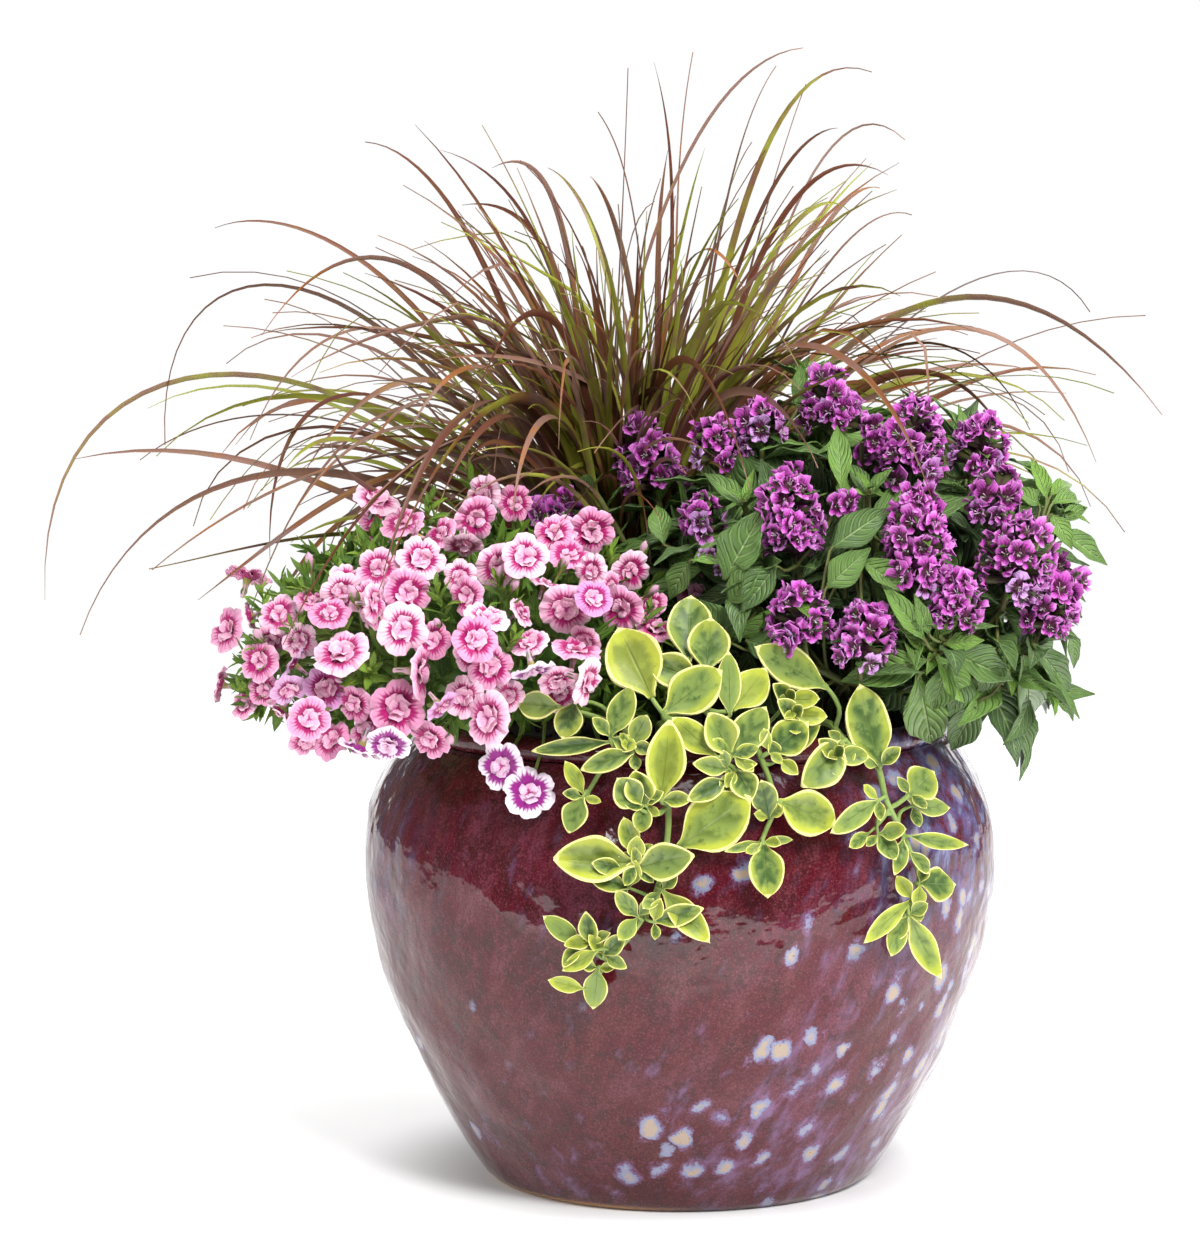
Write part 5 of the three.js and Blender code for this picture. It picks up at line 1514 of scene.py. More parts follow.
@dataclass
class Calibrachoa:
    """The double calibrachoa: clusters of blooms over a leafy mound."""

    mound: Mound = Mound((-0.128, -0.048, 0.322), (0.152, 0.128, 0.098))
    heart: Mound = Mound((-0.108, -0.036, 0.318), (0.092, 0.074, 0.052))
    heart_bottom: float = 0.289
    root: Pair = (-66, -34)
    far_width: float = 0.028
    tube: float = 0.015
    tube_width: float = 0.029
    rim_reach: float = 0.160
    rim_gap: float = 0.0055
    swell: float = 1.05
    lowest_sprig: float = 0.296
    white_tone: float = 0.95
    purple_tone: float = 0.70
    pink_tone: float = 0.3
    between_tone: float = 0.5
    shifts: tuple[float, ...] = (0, 6, 12, 18, 25, 32, 38, -6, -12)
    sprigs: int = 150
    sprig_leaves: int = 11
    blooms: list[tuple[Array, Array, float]] = field(default_factory=list)

    def model_bloom(self, seed: int) -> Mould:
        """Models a double bloom: ruffled lobes, a crumpled rosette, a tube and a calyx.

        Args:
            seed: Shifts the ruffles, so that blooms differ.

        Returns:
            The mould, with its middle at the origin and its face up.
        """
        draw = Draw(50 + seed)
        phase = [draw(0, 2 * math.pi) for _ in range(4)]
        lobes = 5 if seed % 3 else 6

        def limb(u: Array, v: Array) -> Array:
            """The open lobes."""
            turn = (u + 1) * math.pi
            valley = (1 - np.abs(np.sin(lobes / 2 * turn))) ** 2
            reach = 0.5 * (1 - 0.17 * valley) * (1 + 0.03 * np.sin(3 * turn + phase[0])
                                                 + 0.018 * np.sin(19 * turn + phase[3]))
            out = mix(0.07, reach, v)
            height = -0.13 * (1 - smooth(0.0, 0.5, v)) - 0.07 * valley * v - 0.035 * smooth(0.8, 1, v)
            crimp = 0.022 * np.sin(11 * turn + phase[2]) + 0.014 * np.sin(19 * turn + phase[3])
            height = height + v * v * (0.03 * np.sin(4 * turn + phase[1]) + crimp)
            return np.stack([out * np.cos(turn), out * np.sin(turn), height], -1)

        def flat(u: Array, v: Array) -> Array:
            """The same places from above, as a pattern."""
            turn, out = (u + 1) * math.pi, mix(0.14, 1.0, v)
            return np.stack([0.5 + 0.5 * out * np.cos(turn), 0.5 + 0.5 * out * np.sin(turn)], -1)

        heap = Heap()
        centred = Spot(vec(0, 0, 0), vec(0, 1, 0), UP, 1, 1)
        heap.cast(shaped_sheet(54, 5, limb, 0.009, flat, 0), [centred])
        inner = shaped_sheet(5, 4, leaf_shape(FAN, -0.10, 0.20, 0.9, 0.05, seed), 0.02, finish=1)
        crown = []
        for ring, (count, reach, lift, wide) in enumerate([(5, 0.235, 0.45, 0.25), (3, 0.17, 1.3, 0.20)]):
            for i in range(count):
                out = level((i + 0.5 * ring + draw(-0.22, 0.22)) * 2 * math.pi / count)
                base = out * 0.015 + UP * (-0.05 + 0.02 * ring)
                crown.append(Spot(base, out + UP * lift * draw(0.6, 1.4), UP - out * draw(0.2, 1.0),
                                  reach * draw(0.85, 1.15), wide * draw(0.9, 1.3), draw(-1.1, 0.1)))
        heap.cast(inner, crown)
        end = vec(0.01, 0, -self.tube / self.tube_width)
        tube = smooth_path([vec(0, 0, -0.12), vec(0, 0, -0.3), end], 6)
        heap.sweep(tube, circle(10), np.array([0.10, 0.08, 0.062, 0.052, 0.05, 0.042]), vec(0, 1, 0), 2)
        sepal = shaped_sheet(2, 4, leaf_shape(SLIM, 0.3), 0.05, finish=3)
        sides = [level(turn) for turn in np.arange(5) * 2 * math.pi / 5]
        heap.cast(sepal, [Spot(end, out * 0.35 + UP, out, 0.27, 0.1, -0.5) for out in sides])
        return heap.as_mould()

    def seat(self, node_points: Array, middle: Array, facing: Array, width: float, outward: Array) -> Array:
        """Finds where the solid bloom stands, along its line outward from the mound.

        Args:
            node_points: The points of the cluster's CAD node.
            middle: The bloom's place on the mound.
            facing: Which way it looks.
            width: Its width.
            outward: The direction that it may have been moved in.

        Returns:
            The bloom's middle.
        """
        best, most = middle, -1
        for shift in self.shifts:
            centre = middle + outward * shift * MM
            away = node_points - centre
            depth = away @ facing
            out = np.linalg.norm(away - depth[:, None] * facing, axis=1)
            count = int(np.sum((np.abs(out - width / 2) < 4e-4) & (np.abs(depth) < 4e-4)))
            if count > most:
                best, most = centre, count
        return best

    def build(self, nodes: dict[str, bpy.types.Object]) -> list[bpy.types.Object]:
        """Grows the clusters of blooms and the leafy mound.

        Args:
            nodes: The CAD nodes, by name.

        Returns:
            The pieces.
        """
        moulds = [self.model_bloom(seed) for seed in range(4)]
        finishes = [
            BloomLimb().make(),
            Petal("bloom_rosette", (0.50, 0.06, 0.25), (0.78, 0.38, 0.54), (0.90, 0.64, 0.74),
                  (0.80, 0.58, 0.76), 0.16, 0.25).make(),
            Petal("bloom_tube", (0.28, 0.24, 0.07), (0.60, 0.33, 0.45), (0.66, 0.40, 0.52),
                  (0.5, 0.35, 0.5), 0.3).make(),
            VeinedLeaf("calibrachoa_leaf", (0.085, 0.19, 0.022), (0.27, 0.42, 0.045), (0.04, 0.10, 0.012),
                       (0.30, 0.44, 0.12), 3, 0.45, 0.0004).make(),
            Stem("calibrachoa_stem", (0.22, 0.32, 0.06), (0.10, 0.16, 0.03)).make(),
        ]
        clusters = [[self._near(bloom) for bloom in row] for row in BLOOM_CLUSTERS]
        for x, y, size in EXTRA_BLOOMS:
            apart = [min(math.hypot(x - bloom[0], y - bloom[1]) for bloom in row) for row in BLOOM_CLUSTERS]
            clusters[int(np.argmin(apart))].append(self._between(x, y, size))
        clusters += [[self._far(direction) for direction in row] for row in FAR_BLOOMS]
        pieces = []
        for i, row in enumerate(clusters):
            node = f"calibrachoa_blooms_{i + 1:02d}"
            points = np.array([v.co for v in nodes[node].data.vertices])
            pieces.append(self._cluster(row, points, i, moulds, finishes))
        pieces.append(self._foliage(finishes))
        return pieces

    def _near(self, bloom: Bloom) -> tuple:
        """A bloom of the picture: its middle, facing, width, way outward, tone, and if a solid shows it."""
        x, y, size, right, up = bloom
        tone = self.purple_tone if (x, y) in PURPLISH else self.pink_tone
        tone = self.white_tone if (x, y) in WHITE_EDGED else tone
        middle = self.mound.seen_at(x, y)[0]
        return middle, PICTURE.facing(right, up), size * PICTURE.grain, PICTURE.toward, tone, True

    def _between(self, x: float, y: float, size: float) -> tuple:
        """A bloom that shows between the others, a little further back."""
        middle, normal = self.mound.seen_at(x, y, 0.97)
        facing = unit(normal + PICTURE.toward * 0.6)
        return middle, facing, size * PICTURE.grain, PICTURE.toward, self.between_tone, False

    def _far(self, direction: Triple) -> tuple:
        """A bloom on the far side, with the same facts."""
        middle, normal = self.mound.beyond(direction)
        return middle, normal, self.far_width, normal, self.pink_tone, True

    def _cluster(self, row: list[tuple], node_points: Array, index: int, moulds: list[Mould],
                 finishes: list[bpy.types.Material]) -> bpy.types.Object:
        """Builds the blooms of one cluster on their stalks."""
        draw = Draw(300 + index)
        heap = Heap()
        for middle, facing, width, outward, shade, is_solid in row:
            centre = self.seat(node_points, middle, facing, width, outward) if is_solid else middle
            if outward is PICTURE.toward or facing @ PICTURE.toward > 0:
                facing = unit(facing + PICTURE.toward * 0.75 + draw.direction() * 0.12)
            width *= self.swell
            self.blooms.append((centre, facing, width))
            turn = draw.direction()
            spot = Spot(centre, turn, facing, width, width, 0, draw(), shade)
            heap.cast(draw.pick(moulds), [spot])
            throat = centre - facing * self.tube * (width / self.tube_width)
            seat = self.heart.within(throat, 0.7)
            sag = mix(throat, seat, 0.45) - UP * 0.004
            if throat[2] < RIM_TOP and math.hypot(throat[0], throat[1]) > self.rim_reach:
                sag = unit(throat * vec(1, 1, 0)) * self.rim_reach + UP * (RIM_TOP + self.rim_gap)
            heap.stem([seat, sag, throat - facing * 0.006, throat], 0.0012, 0.0009, 4, 8, 5)
        piece = heap.build(f"bloom_cluster_{index + 1:02d}", finishes)
        return settle(piece, Slot.BLOOM, f"calibrachoa_blooms_{index + 1:02d}")

    def _foliage(self, finishes: list[bpy.types.Material]) -> bpy.types.Object:
        """Builds the mound of lance leaves, with buds among them, round a dark tangle of stems whose darkness
        is partly painted shade.
        """
        draw = Draw(41)
        heap = Heap()
        self._tangle(heap, draw)
        leaf = shaped_sheet(2, 5, leaf_shape(SLIM, 0.22, 0.03, 1.5, 0.05), 0.05, finish=3)
        spots = []
        for out in spiral(self.sprigs, 1.5):
            tip, normal = self.mound.beyond(out, draw(0.74, 0.92))
            tip[2] = max(tip[2], self.lowest_sprig)
            spots += self._sprig(heap, tip, unit(normal + draw.direction() * 0.5), draw)
        for x, y in SPRIGS:
            tip, normal = self.mound.seen_at(x, y, 1.02)
            spots += self._sprig(heap, tip, unit(normal + UP * 0.7 + draw.direction() * 0.6), draw, True)
        heap.cast(leaf, spots)
        self._buds(heap, draw)
        piece = heap.build("calibrachoa_mound", finishes)
        return settle(piece, Slot.BLOOM_LEAF, "calibrachoa_foliage")

    def _tangle(self, heap: Heap, draw: Draw) -> None:
        """Fills the middle of the mound with a dark lumpy body of old leaves and stems, dark partly as their
        own colour and partly as painted shade inside the mound.
        """
        deselect()
        bpy.ops.mesh.primitive_uv_sphere_add(segments=40, ring_count=24, radius=1)
        body = bpy.context.object
        for v in body.data.vertices:
            lump = 1 + 0.08 * math.sin(v.co.x * 11 + v.co.z * 7) * math.cos(v.co.y * 9 - v.co.z * 5)
            v.co = Vector([c * h * lump + m for c, h, m in zip(v.co, self.heart.half, self.heart.centre)])
            v.co.z = max(v.co.z, self.heart_bottom)
        mould = Mould.taken_from(body, 3)
        # A tint of one holds the body at the leaf finish's dullest green: painted shade inside the mound
        heap.put(mould.points, mould.corners, mould.sizes, mould.uv, mould.finish,
                 np.full(len(mould.points), 1.0), np.zeros(len(mould.points)))
        x, y = self.root[0] * MM, self.root[1] * MM
        heap.stem([vec(x, y, SOCKET), vec(x, y, 0.27), vec(x, y, 0.3)], 0.007, 0.0065, 4, 6, 10)

    def _sprig(self, heap: Heap, tip: Array, along: Array, draw: Draw, is_proud: bool = False) -> list[Spot]:
        """Sets one leafy sprig, held back from blooms that it would stand through unless it is proud."""
        for centre, facing, width in [] if is_proud else self.blooms:
            away = tip - centre
            if np.linalg.norm(away) < width * 0.62 and away @ facing > -0.012:
                tip = tip - PICTURE.toward * 0.016 - along * 0.008
        seat = self.heart.within(tip, 0.8)
        path = heap.stem([seat, mix(seat, tip, 0.6) + UP * 0.004, tip], 0.0011, 0.0007, 4, 6, 4)
        spots = []
        side = unit(np.cross(along, draw.direction()))
        other = np.cross(along, side)
        for i in range(self.sprig_leaves):
            share = i / (self.sprig_leaves - 1)
            base = path[-1] - along * 0.020 * (1 - share)
            turn = i * GOLDEN_TURN
            out = side * math.cos(turn) + other * math.sin(turn)
            direction = out * mix(1.0, 0.35, share) + along * mix(0.35, 1.0, share)
            length = mix(0.025, 0.012, share) * draw(0.8, 1.25) * (0.75 if is_proud else 1)
            tone = mix(0.5, 1.0, share) if is_proud else mix(0.05, 0.6, share)
            spots.append(Spot(base, direction, along + out * -0.2, length, length * draw(0.24, 0.34),
                              draw(-0.7, 0.3), draw(), tone))
        return spots

    def _buds(self, heap: Heap, draw: Draw) -> None:
        """Sets the closed buds, yellow-green to pink, each in its calyx."""
        bud = shaped_sheet(8, 6, self._bud_shape, 0.02, finish=2)
        sepal = shaped_sheet(2, 4, leaf_shape(SLIM, 0.3), 0.08, finish=3)
        for x, y in BUDS:
            middle, normal = self.mound.seen_at(x, y, 1.0)
            along = unit(normal + UP * 0.5 + draw.direction() * 0.4)
            base = middle - along * 0.004
            length = draw(0.010, 0.016)
            facing = draw.direction()
            heap.cast(bud, [Spot(base, along, facing, length, length * 0.36, 0.2, draw(), 0.2)])
            side = unit(np.cross(along, draw.direction()))
            other = np.cross(along, side)
            long, wide = length * 0.8, length * 0.2
            heap.cast(sepal, [Spot(base, along + out * 0.4, out, long, wide, -0.3, draw(), 0.6)
                              for out in (side, other, -side, -other)])
            back = base - along * 0.02 - UP * 0.008
            heap.stem([back, base - along * 0.008, base], 0.0009, 0.0008, 4, 5, 4)

    @staticmethod
    def _bud_shape(u: Array, v: Array) -> Array:
        """A closed bud: slim at its base and swollen towards its tip."""
        turn = (u + 1) * math.pi
        out = 0.5 * np.interp(v, [0, 0.3, 0.7, 0.9, 1], [0.3, 0.55, 1.0, 0.7, 0.05])
        out = out * (1 + 0.08 * np.cos(5 * turn + 3 * v))
        return np.stack([out * np.cos(turn), v, out * np.sin(turn)], -1)


@dataclass(frozen=True)
class CupheaStem:
    """One plant stem: its root, its heads (x, y, length, width, lean) and its leafy shoots."""

    root: Pair
    heads: tuple[Leaf, ...]
    shoots: tuple[Pixel, ...]
    far_shoots: tuple[Triple, ...] = ()


CUPHEA_STEMS = (
    CupheaStem((16, 4), ((646, 456, 84, 70, -8), (543, 518, 34, 60, -20)), ((590, 486),)),
    CupheaStem((52, -2), ((717, 444, 50, 62, -5), (760, 424, 36, 60, 0)), ((742, 500),)),
    CupheaStem((58, -52), ((790, 512, 104, 70, -4), (700, 516, 30, 50, -10)), ((742, 560),)),
    CupheaStem((86, 40), ((831, 402, 54, 72, -4), (912, 440, 84, 78, 4)), ((804, 372),),
               ((0.1, 0.8, 0.55), (0.35, 0.75, 0.1))),
    CupheaStem((88, -62), ((798, 614, 60, 68, -8), (864, 632, 60, 68, 4)), ((936, 650),)),
    CupheaStem((124, -14), ((918, 540, 118, 76, 0), (958, 602, 58, 56, 10)), ((868, 490),)),
    CupheaStem((122, 30), ((980, 444, 60, 62, 8), (997, 499, 50, 66, 12)), ((1060, 506),),
               ((0.75, 0.6, 0.25),)),
    CupheaStem((112, -52), ((1020, 556, 74, 80, 12), (1054, 606, 66, 58, 18)), ((1010, 672), (1050, 690))),
)
# Where dew plant leaves lie in front of the cuphea: left, top, right and bottom
DEW_WINDOWS = ((752, 632, 836, 694), (838, 683, 897, 772))
# Florets apart from the heads: the nearest head, x, y, how many, and whether they are spent
LOOSE_FLORETS = (
    (5, 841, 495, 3, False), (7, 862, 442, 4, False), (16, 1078, 573, 4, False), (6, 705, 544, 3, True),
    (6, 716, 562, 2, True), (2, 563, 514, 3, False), (9, 858, 636, 2, True), (14, 948, 596, 3, False),
)
# Large leaves of the cuphea that the picture shows: base, tip, width and how young they are
LARGE_LEAVES: tuple[tuple[float, float, float, float, float, float], ...] = (
    (928, 660, 840, 680, 40, 0.6), (918, 676, 937, 773, 50, 0.7), (936, 655, 974, 708, 30, 0.8),
    (950, 652, 1012, 680, 40, 0.2), (998, 649, 982, 698, 34, 0.1), (1022, 655, 1043, 746, 52, 0.0),
    (1033, 644, 1074, 692, 30, 0.1), (1070, 628, 1081, 674, 17, 0.2), (979, 700, 948, 757, 36, 0.0),
    (925, 640, 882, 583, 24, 0.4), (930, 636, 914, 594, 18, 0.6), (940, 636, 960, 608, 16, 0.9),
    (944, 644, 984, 640, 22, 0.7), (1047, 499, 1031, 458, 20, 0.7), (1050, 496, 1078, 470, 18, 0.7),
    (1052, 503, 1089, 491, 22, 0.6), (1051, 513, 1073, 548, 24, 0.5), (1060, 530, 1108, 565, 28, 0.3),
    (1040, 505, 1012, 486, 20, 0.5), (842, 489, 837, 424, 26, 0.5), (831, 548, 891, 506, 40, 0.0),
    (826, 588, 870, 548, 36, 0.1), (724, 580, 766, 508, 48, 0.0), (728, 604, 762, 566, 34, 0.1),
    (797, 410, 801, 361, 17, 0.4), (776, 566, 742, 612, 34, 0.0), (664, 545, 655, 498, 26, 0.2),
    (690, 560, 665, 600, 30, 0.1), (745, 640, 796, 655, 34, 0.0), (862, 560, 905, 590, 28, 0.2),
    (726, 640, 700, 600, 38, 0.0), (702, 652, 742, 600, 34, 0.1), (700, 620, 668, 650, 30, 0.1),
    (948, 662, 932, 716, 34, 0.1), (968, 668, 950, 720, 32, 0.0),
)


@dataclass
class Cuphea:
    """The cuphea: leafy stems that fork to ruffled purple heads."""

    mound: Mound = Mound((0.112, -0.018, 0.360), (0.152, 0.142, 0.118))
    floret: float = 0.0160
    leaf: LeafKind = LeafKind(LANCE, 4, 12, 0.035, 2.6, 1.7,
                              ((0.28, 0.06, 0.04), (0.42, 0.10, 0.02), (0.12, 0.08, -0.05)))
    leaf_length: float = 0.054
    stem_radius: float = 0.0019
    root_radius: float = 0.0032
    rule_leaves: int = 250
    inner_leaves: int = 170
    right_edge: float = 1098
    lowest_tip: float = 0.262
    lowest_inner: float = 0.272
    tier_pitch: float = 0.0125
    floret_pitch: float = 0.0105
    fork_radius: float = 0.0024
    branch_radius: float = 0.0023
    shoot_whorls: tuple[Pair, ...] = ((0.55, 1.0), (0.78, 0.85), (0.93, 0.6), (0.99, 0.38), (1.0, 0.22))
    head_whorls: tuple[Pair, ...] = ((0.6, 1.0), (0.82, 0.85), (0.97, 0.5))
    heads: list[tuple[Array, Array, float, float]] = field(default_factory=list)

    def model_floret(self, seed: int) -> Mould:
        """Models a floret: six ruffled petals, the upper two larger, round a hairy mouth on a tube.

        Args:
            seed: Shifts the ruffles, so that florets differ.

        Returns:
            The mould, with its mouth at the origin, its face up and its upper petals along.
        """
        draw = Draw(90 + seed)
        heap = Heap()
        shape = leaf_shape(PETAL, 0.10, 0.42, 1.3, 0.16, seed * 1.9)
        petal = shaped_sheet(3, 3, shape, 0.045, finish=0)
        row = []
        for i in range(6):
            turn = (i + 0.5 + draw(-0.2, 0.2)) * math.pi / 3
            out = vec(math.sin(turn), math.cos(turn), 0)
            large = 1.35 if i in (0, 5) else 0.92
            lift = draw(0.05, 0.9)
            row.append(Spot(out * 0.09, out + UP * lift, UP - out * 0.3, 0.36 * large * draw(0.85, 1.12),
                            0.38 * large * draw(0.8, 1.15), draw(-1.3, 0.3)))
        heap.cast(petal, row)
        section = circle(6)
        tube = smooth_path([vec(0, 0, 0.03), vec(0, 0, -0.3), vec(0, 0.02, -0.86)], 4)
        heap.sweep(tube, section, np.array([0.14, 0.15, 0.13, 0.09]), vec(0, 1, 0), 1)
        for _ in range(5):
            out = draw.direction() * vec(1, 1, 0) * 0.10
            path = np.array([out * 0.5, out * 0.8 + UP * 0.10, out * 1.5 + UP * 0.20])
            heap.sweep(path, section[::2], np.array([0.016, 0.014, 0.02]), vec(0, 1, 0), 3)
        return heap.as_mould()

    def build(self) -> list[bpy.types.Object]:
        """Grows the heads, then the stems with their leaves.

        Returns:
            The pieces.
        """
        moulds = self.leaf.moulds()
        florets = [self.model_floret(seed) for seed in range(4)]
        petals = [
            Petal("cuphea_petal", (0.060, 0.001, 0.030), (0.50, 0.052, 0.43), (0.76, 0.34, 0.74),
                  (0.60, 0.38, 0.72), 0.50, 0.7).make(),
            # The tube's dark wine and olive: partly its own colour, partly painted shade, dark where it lies
            # inside the head between the florets
            Petal("cuphea_tube", (0.06, 0.06, 0.02), (0.06, 0.008, 0.03), (0.03, 0.002, 0.018),
                  (0.08, 0.02, 0.04), 0.5).make(),
            VeinedLeaf("cuphea_bract", (0.05, 0.13, 0.02), (0.17, 0.30, 0.05), (0.03, 0.08, 0.02),
                       (0.2, 0.32, 0.1)).make(),
            Plain("cuphea_hair", (0.55, 0.42, 0.52)).make(),
        ]
        leaf = VeinedLeaf("cuphea_leaf", (0.105, 0.190, 0.050), (0.230, 0.420, 0.065), (0.048, 0.082, 0.040),
                          (0.36, 0.50, 0.20), rough=0.22).make()
        stem = Stem("cuphea_stem", (0.14, 0.20, 0.05), (0.10, 0.05, 0.03)).make()
        heads = [head for row in CUPHEA_STEMS for head in row.heads]
        pieces = [self._head(head, i + 1, florets, petals) for i, head in enumerate(heads)]
        for i, leaves in enumerate(self._share_leaves()):
            pieces.append(self._stem(i, leaves, moulds, [leaf, stem]))
        return pieces

    def _stand(self, head: Leaf) -> tuple[Array, Array]:
        """A head's middle, and the direction that it grows in."""
        middle, normal = self.mound.seen_at(head[0], head[1])
        tilt = math.radians(head[4])
        return middle, unit(vec(math.sin(tilt), 0, math.cos(tilt)) + normal * 0.25)

    def _head(self, head: Leaf, count: int, florets: list[Mould],
              finishes: list[bpy.types.Material]) -> bpy.types.Object:
        """Builds one head: florets all round a slim spike, with bracts among them."""
        x, y, length, width, _ = head
        draw = Draw(int(x * 7 + y))
        middle, axis = self._stand(head)
        tall, wide = length * PICTURE.grain, width * PICTURE.grain
        start = middle - axis * tall / 2
        self.heads.append((middle, axis, tall, wide))
        heap = Heap()
        self._loose_groups(heap, florets, count, draw)
        spine = max(tall - self.floret / 2, 0.008)
        heap.stem([start, start + axis * spine * 0.5, start + axis * spine], 0.0017, 0.0012, 1, 5, 6)
        side, front = square_to(axis)
        tiers = max(2, round(tall / self.tier_pitch))
        around = max(5, round(math.pi * wide * 0.72 / self.floret_pitch))
        spots: list[list[Spot]] = [[] for _ in florets]
        bracts = []
        for tier in range(tiers):
            t = (tier + 0.5) / tiers
            crown = float(smooth(0.62, 1.0, np.array(t)))
            ring = max(4, round(around * (1 - 0.5 * crown)))
            for i in range(ring):
                turn = (i + 0.5 * (tier % 2) + draw(-0.3, 0.3)) * 2 * math.pi / ring
                out = side * math.cos(turn) + front * math.sin(turn)
                face = unit(out + axis * (0.15 + 0.2 * t + 1.3 * crown) + draw.direction() * 0.42)
                reach = (wide / 2 - self.floret * 0.34) * (1 - 0.42 * crown) * draw(0.78, 1.08)
                height = spine * mix(0.08, 0.90, t) + draw(-0.0035, 0.0035)
                mouth = start + axis * height + face * reach
                size = self.floret * draw(0.84, 1.16)
                upward = np.cross(face, np.cross(axis + draw.direction() * 0.5, face))
                is_old = tier == 0 and draw() < 0.45
                draw.pick(spots).append(Spot(mouth, upward, face, size, size, 0, draw(),
                                             draw(0.85, 1) if is_old else draw(0, 0.8)))
                if i % 3 == 1:
                    base = start + axis * height + out * reach * 0.2
                    along = out + axis * 0.4 + draw.direction() * 0.4
                    bracts.append(Spot(base, along, axis, reach + draw(0.001, 0.008), draw(0.004, 0.0075),
                                       draw(-0.6, 0.2), draw(), draw(0.2, 1)))
        heap.cast_each(florets, spots)
        bract = shaped_sheet(2, 6, leaf_shape(LANCE, 0.3, 0.05), 0.06, finish=2)
        heap.cast(bract, bracts)
        piece = heap.build(f"purple_head_{count:02d}", finishes)
        return settle(piece, Slot.CUPHEA_FLOWER, f"cuphea_head_{count:02d}")

    def _loose_groups(self, heap: Heap, florets: list[Mould], count: int, draw: Draw) -> None:
        """Adds the few florets that stand by themselves near a head, each on its twig."""
        for near, x, y, florets_here, is_old in LOOSE_FLORETS:
            if near != count:
                continue
            middle, normal = self.mound.seen_at(x, y, 0.97)
            for _ in range(florets_here):
                face = unit(PICTURE.toward + normal * 0.4 + draw.direction() * 0.6)
                place = middle + draw.direction() * 0.0065 * math.sqrt(florets_here - 1)
                upward = np.cross(face, np.cross(UP, face))
                size = self.floret * (0.5 if is_old else 0.95)
                shade = draw(0.9, 1) if is_old else draw(0, 0.6)
                mould = draw.pick(florets)
                heap.cast(mould, [Spot(place, upward, face, size, size, 0, draw(), shade)])
            heap.stem([middle, middle - normal * 0.016 - UP * 0.008], 0.0014, 0.0014, 1, 3, 5)

    def _share_leaves(self) -> list[list[tuple[Array, Array, Array, float, float, float]]]:
        """Lays out the large leaves and those of the mound, and gives each to its nearest stem."""
        draw = Draw(507)
        shares: list[list[tuple]] = [[] for _ in CUPHEA_STEMS]
        roots = np.array([row.root for row in CUPHEA_STEMS]) * MM
        middles = np.array([np.mean([self._stand(head)[0] for head in row.heads], axis=0)
                            for row in CUPHEA_STEMS])

        def give(base: Array, tip: Array, facing: Array, width: float, tint: float, tone: float) -> None:
            """Hands a leaf to the stem whose heads are nearest."""
            away = np.linalg.norm(middles - base, axis=1) + 0.4 * np.linalg.norm(roots - base[:2], axis=1)
            shares[int(np.argmin(away))].append((base, tip, facing, width, tint, tone))

        for bx, by, tx, ty, width, young in LARGE_LEAVES:
            base, _ = self.mound.seen_at(bx, by, 1.0)
            tip, normal = self.mound.seen_at(tx, ty, 1.04)
            give(base, tip, PICTURE.toward + normal * 0.5 + UP * 0.5 + draw.direction() * 0.2,
                 width * 0.88 * PICTURE.grain, draw(0, 0.6), young)
        for out in spiral(self.rule_leaves, 1.62):
            base, normal = self.mound.beyond(out, draw(0.62, 0.86))
            size = self.leaf_length * draw(0.7, 1.15)
            spread = unit(np.cross(normal, draw.direction()))
            along = unit(normal * draw(0.25, 0.9) + spread - UP * draw(0.0, 0.5))
            tip = base + along * size
            is_stray = tip[2] < self.lowest_tip or PICTURE.place_of(tip)[0] > self.right_edge
            if is_stray or self._hides_dew(base, tip) or self._in_head(base + along * size * 0.6):
                continue
            give(base, tip, normal + UP * 0.6, size * draw(0.30, 0.38), draw(), draw(0, 0.45))
        # Leaves deep in the mound get a high tint and no youth, so they come out dull and dark: partly old
        # leaves, partly painted shade inside the mound
        for _ in range(self.inner_leaves):
            base, normal = self.mound.beyond(draw.direction(), draw(0.25, 0.62))
            along = unit(normal * draw(0.1, 0.6) + draw.direction())
            size = self.leaf_length * draw(0.8, 1.2)
            tip = base + along * size
            if min(base[2], tip[2]) > self.lowest_inner:
                give(base, tip, normal + UP * 0.8, size * draw(0.34, 0.44), draw(0.5, 1), 0)
        return shares

    @staticmethod
    def _hides_dew(base: Array, tip: Array) -> bool:
        """Whether a leaf would stand in front of the dew plant leaves that lie over the cuphea."""
        for share in (0.3, 0.65, 1.0):
            x, y = PICTURE.place_of(mix(base, tip, share))[:2]
            if any(left < x < right and top < y < bottom for left, top, right, bottom in DEW_WINDOWS):
                return True
        return False

    def _in_head(self, point: Array) -> bool:
        """Whether a point lies in a head's florets, or just in front of one."""
        for middle, axis, tall, wide in self.heads:
            away = point - middle
            up = away @ axis
            out = np.linalg.norm(away - axis * up)
            if (up / (tall * 0.6)) ** 2 + (out / (wide * 0.6)) ** 2 < 1:
                return True
            ahead = away @ PICTURE.toward
            flat = away - PICTURE.toward * ahead
            if ahead > 0 and np.linalg.norm(flat) < wide * 0.5:
                return True
        return False

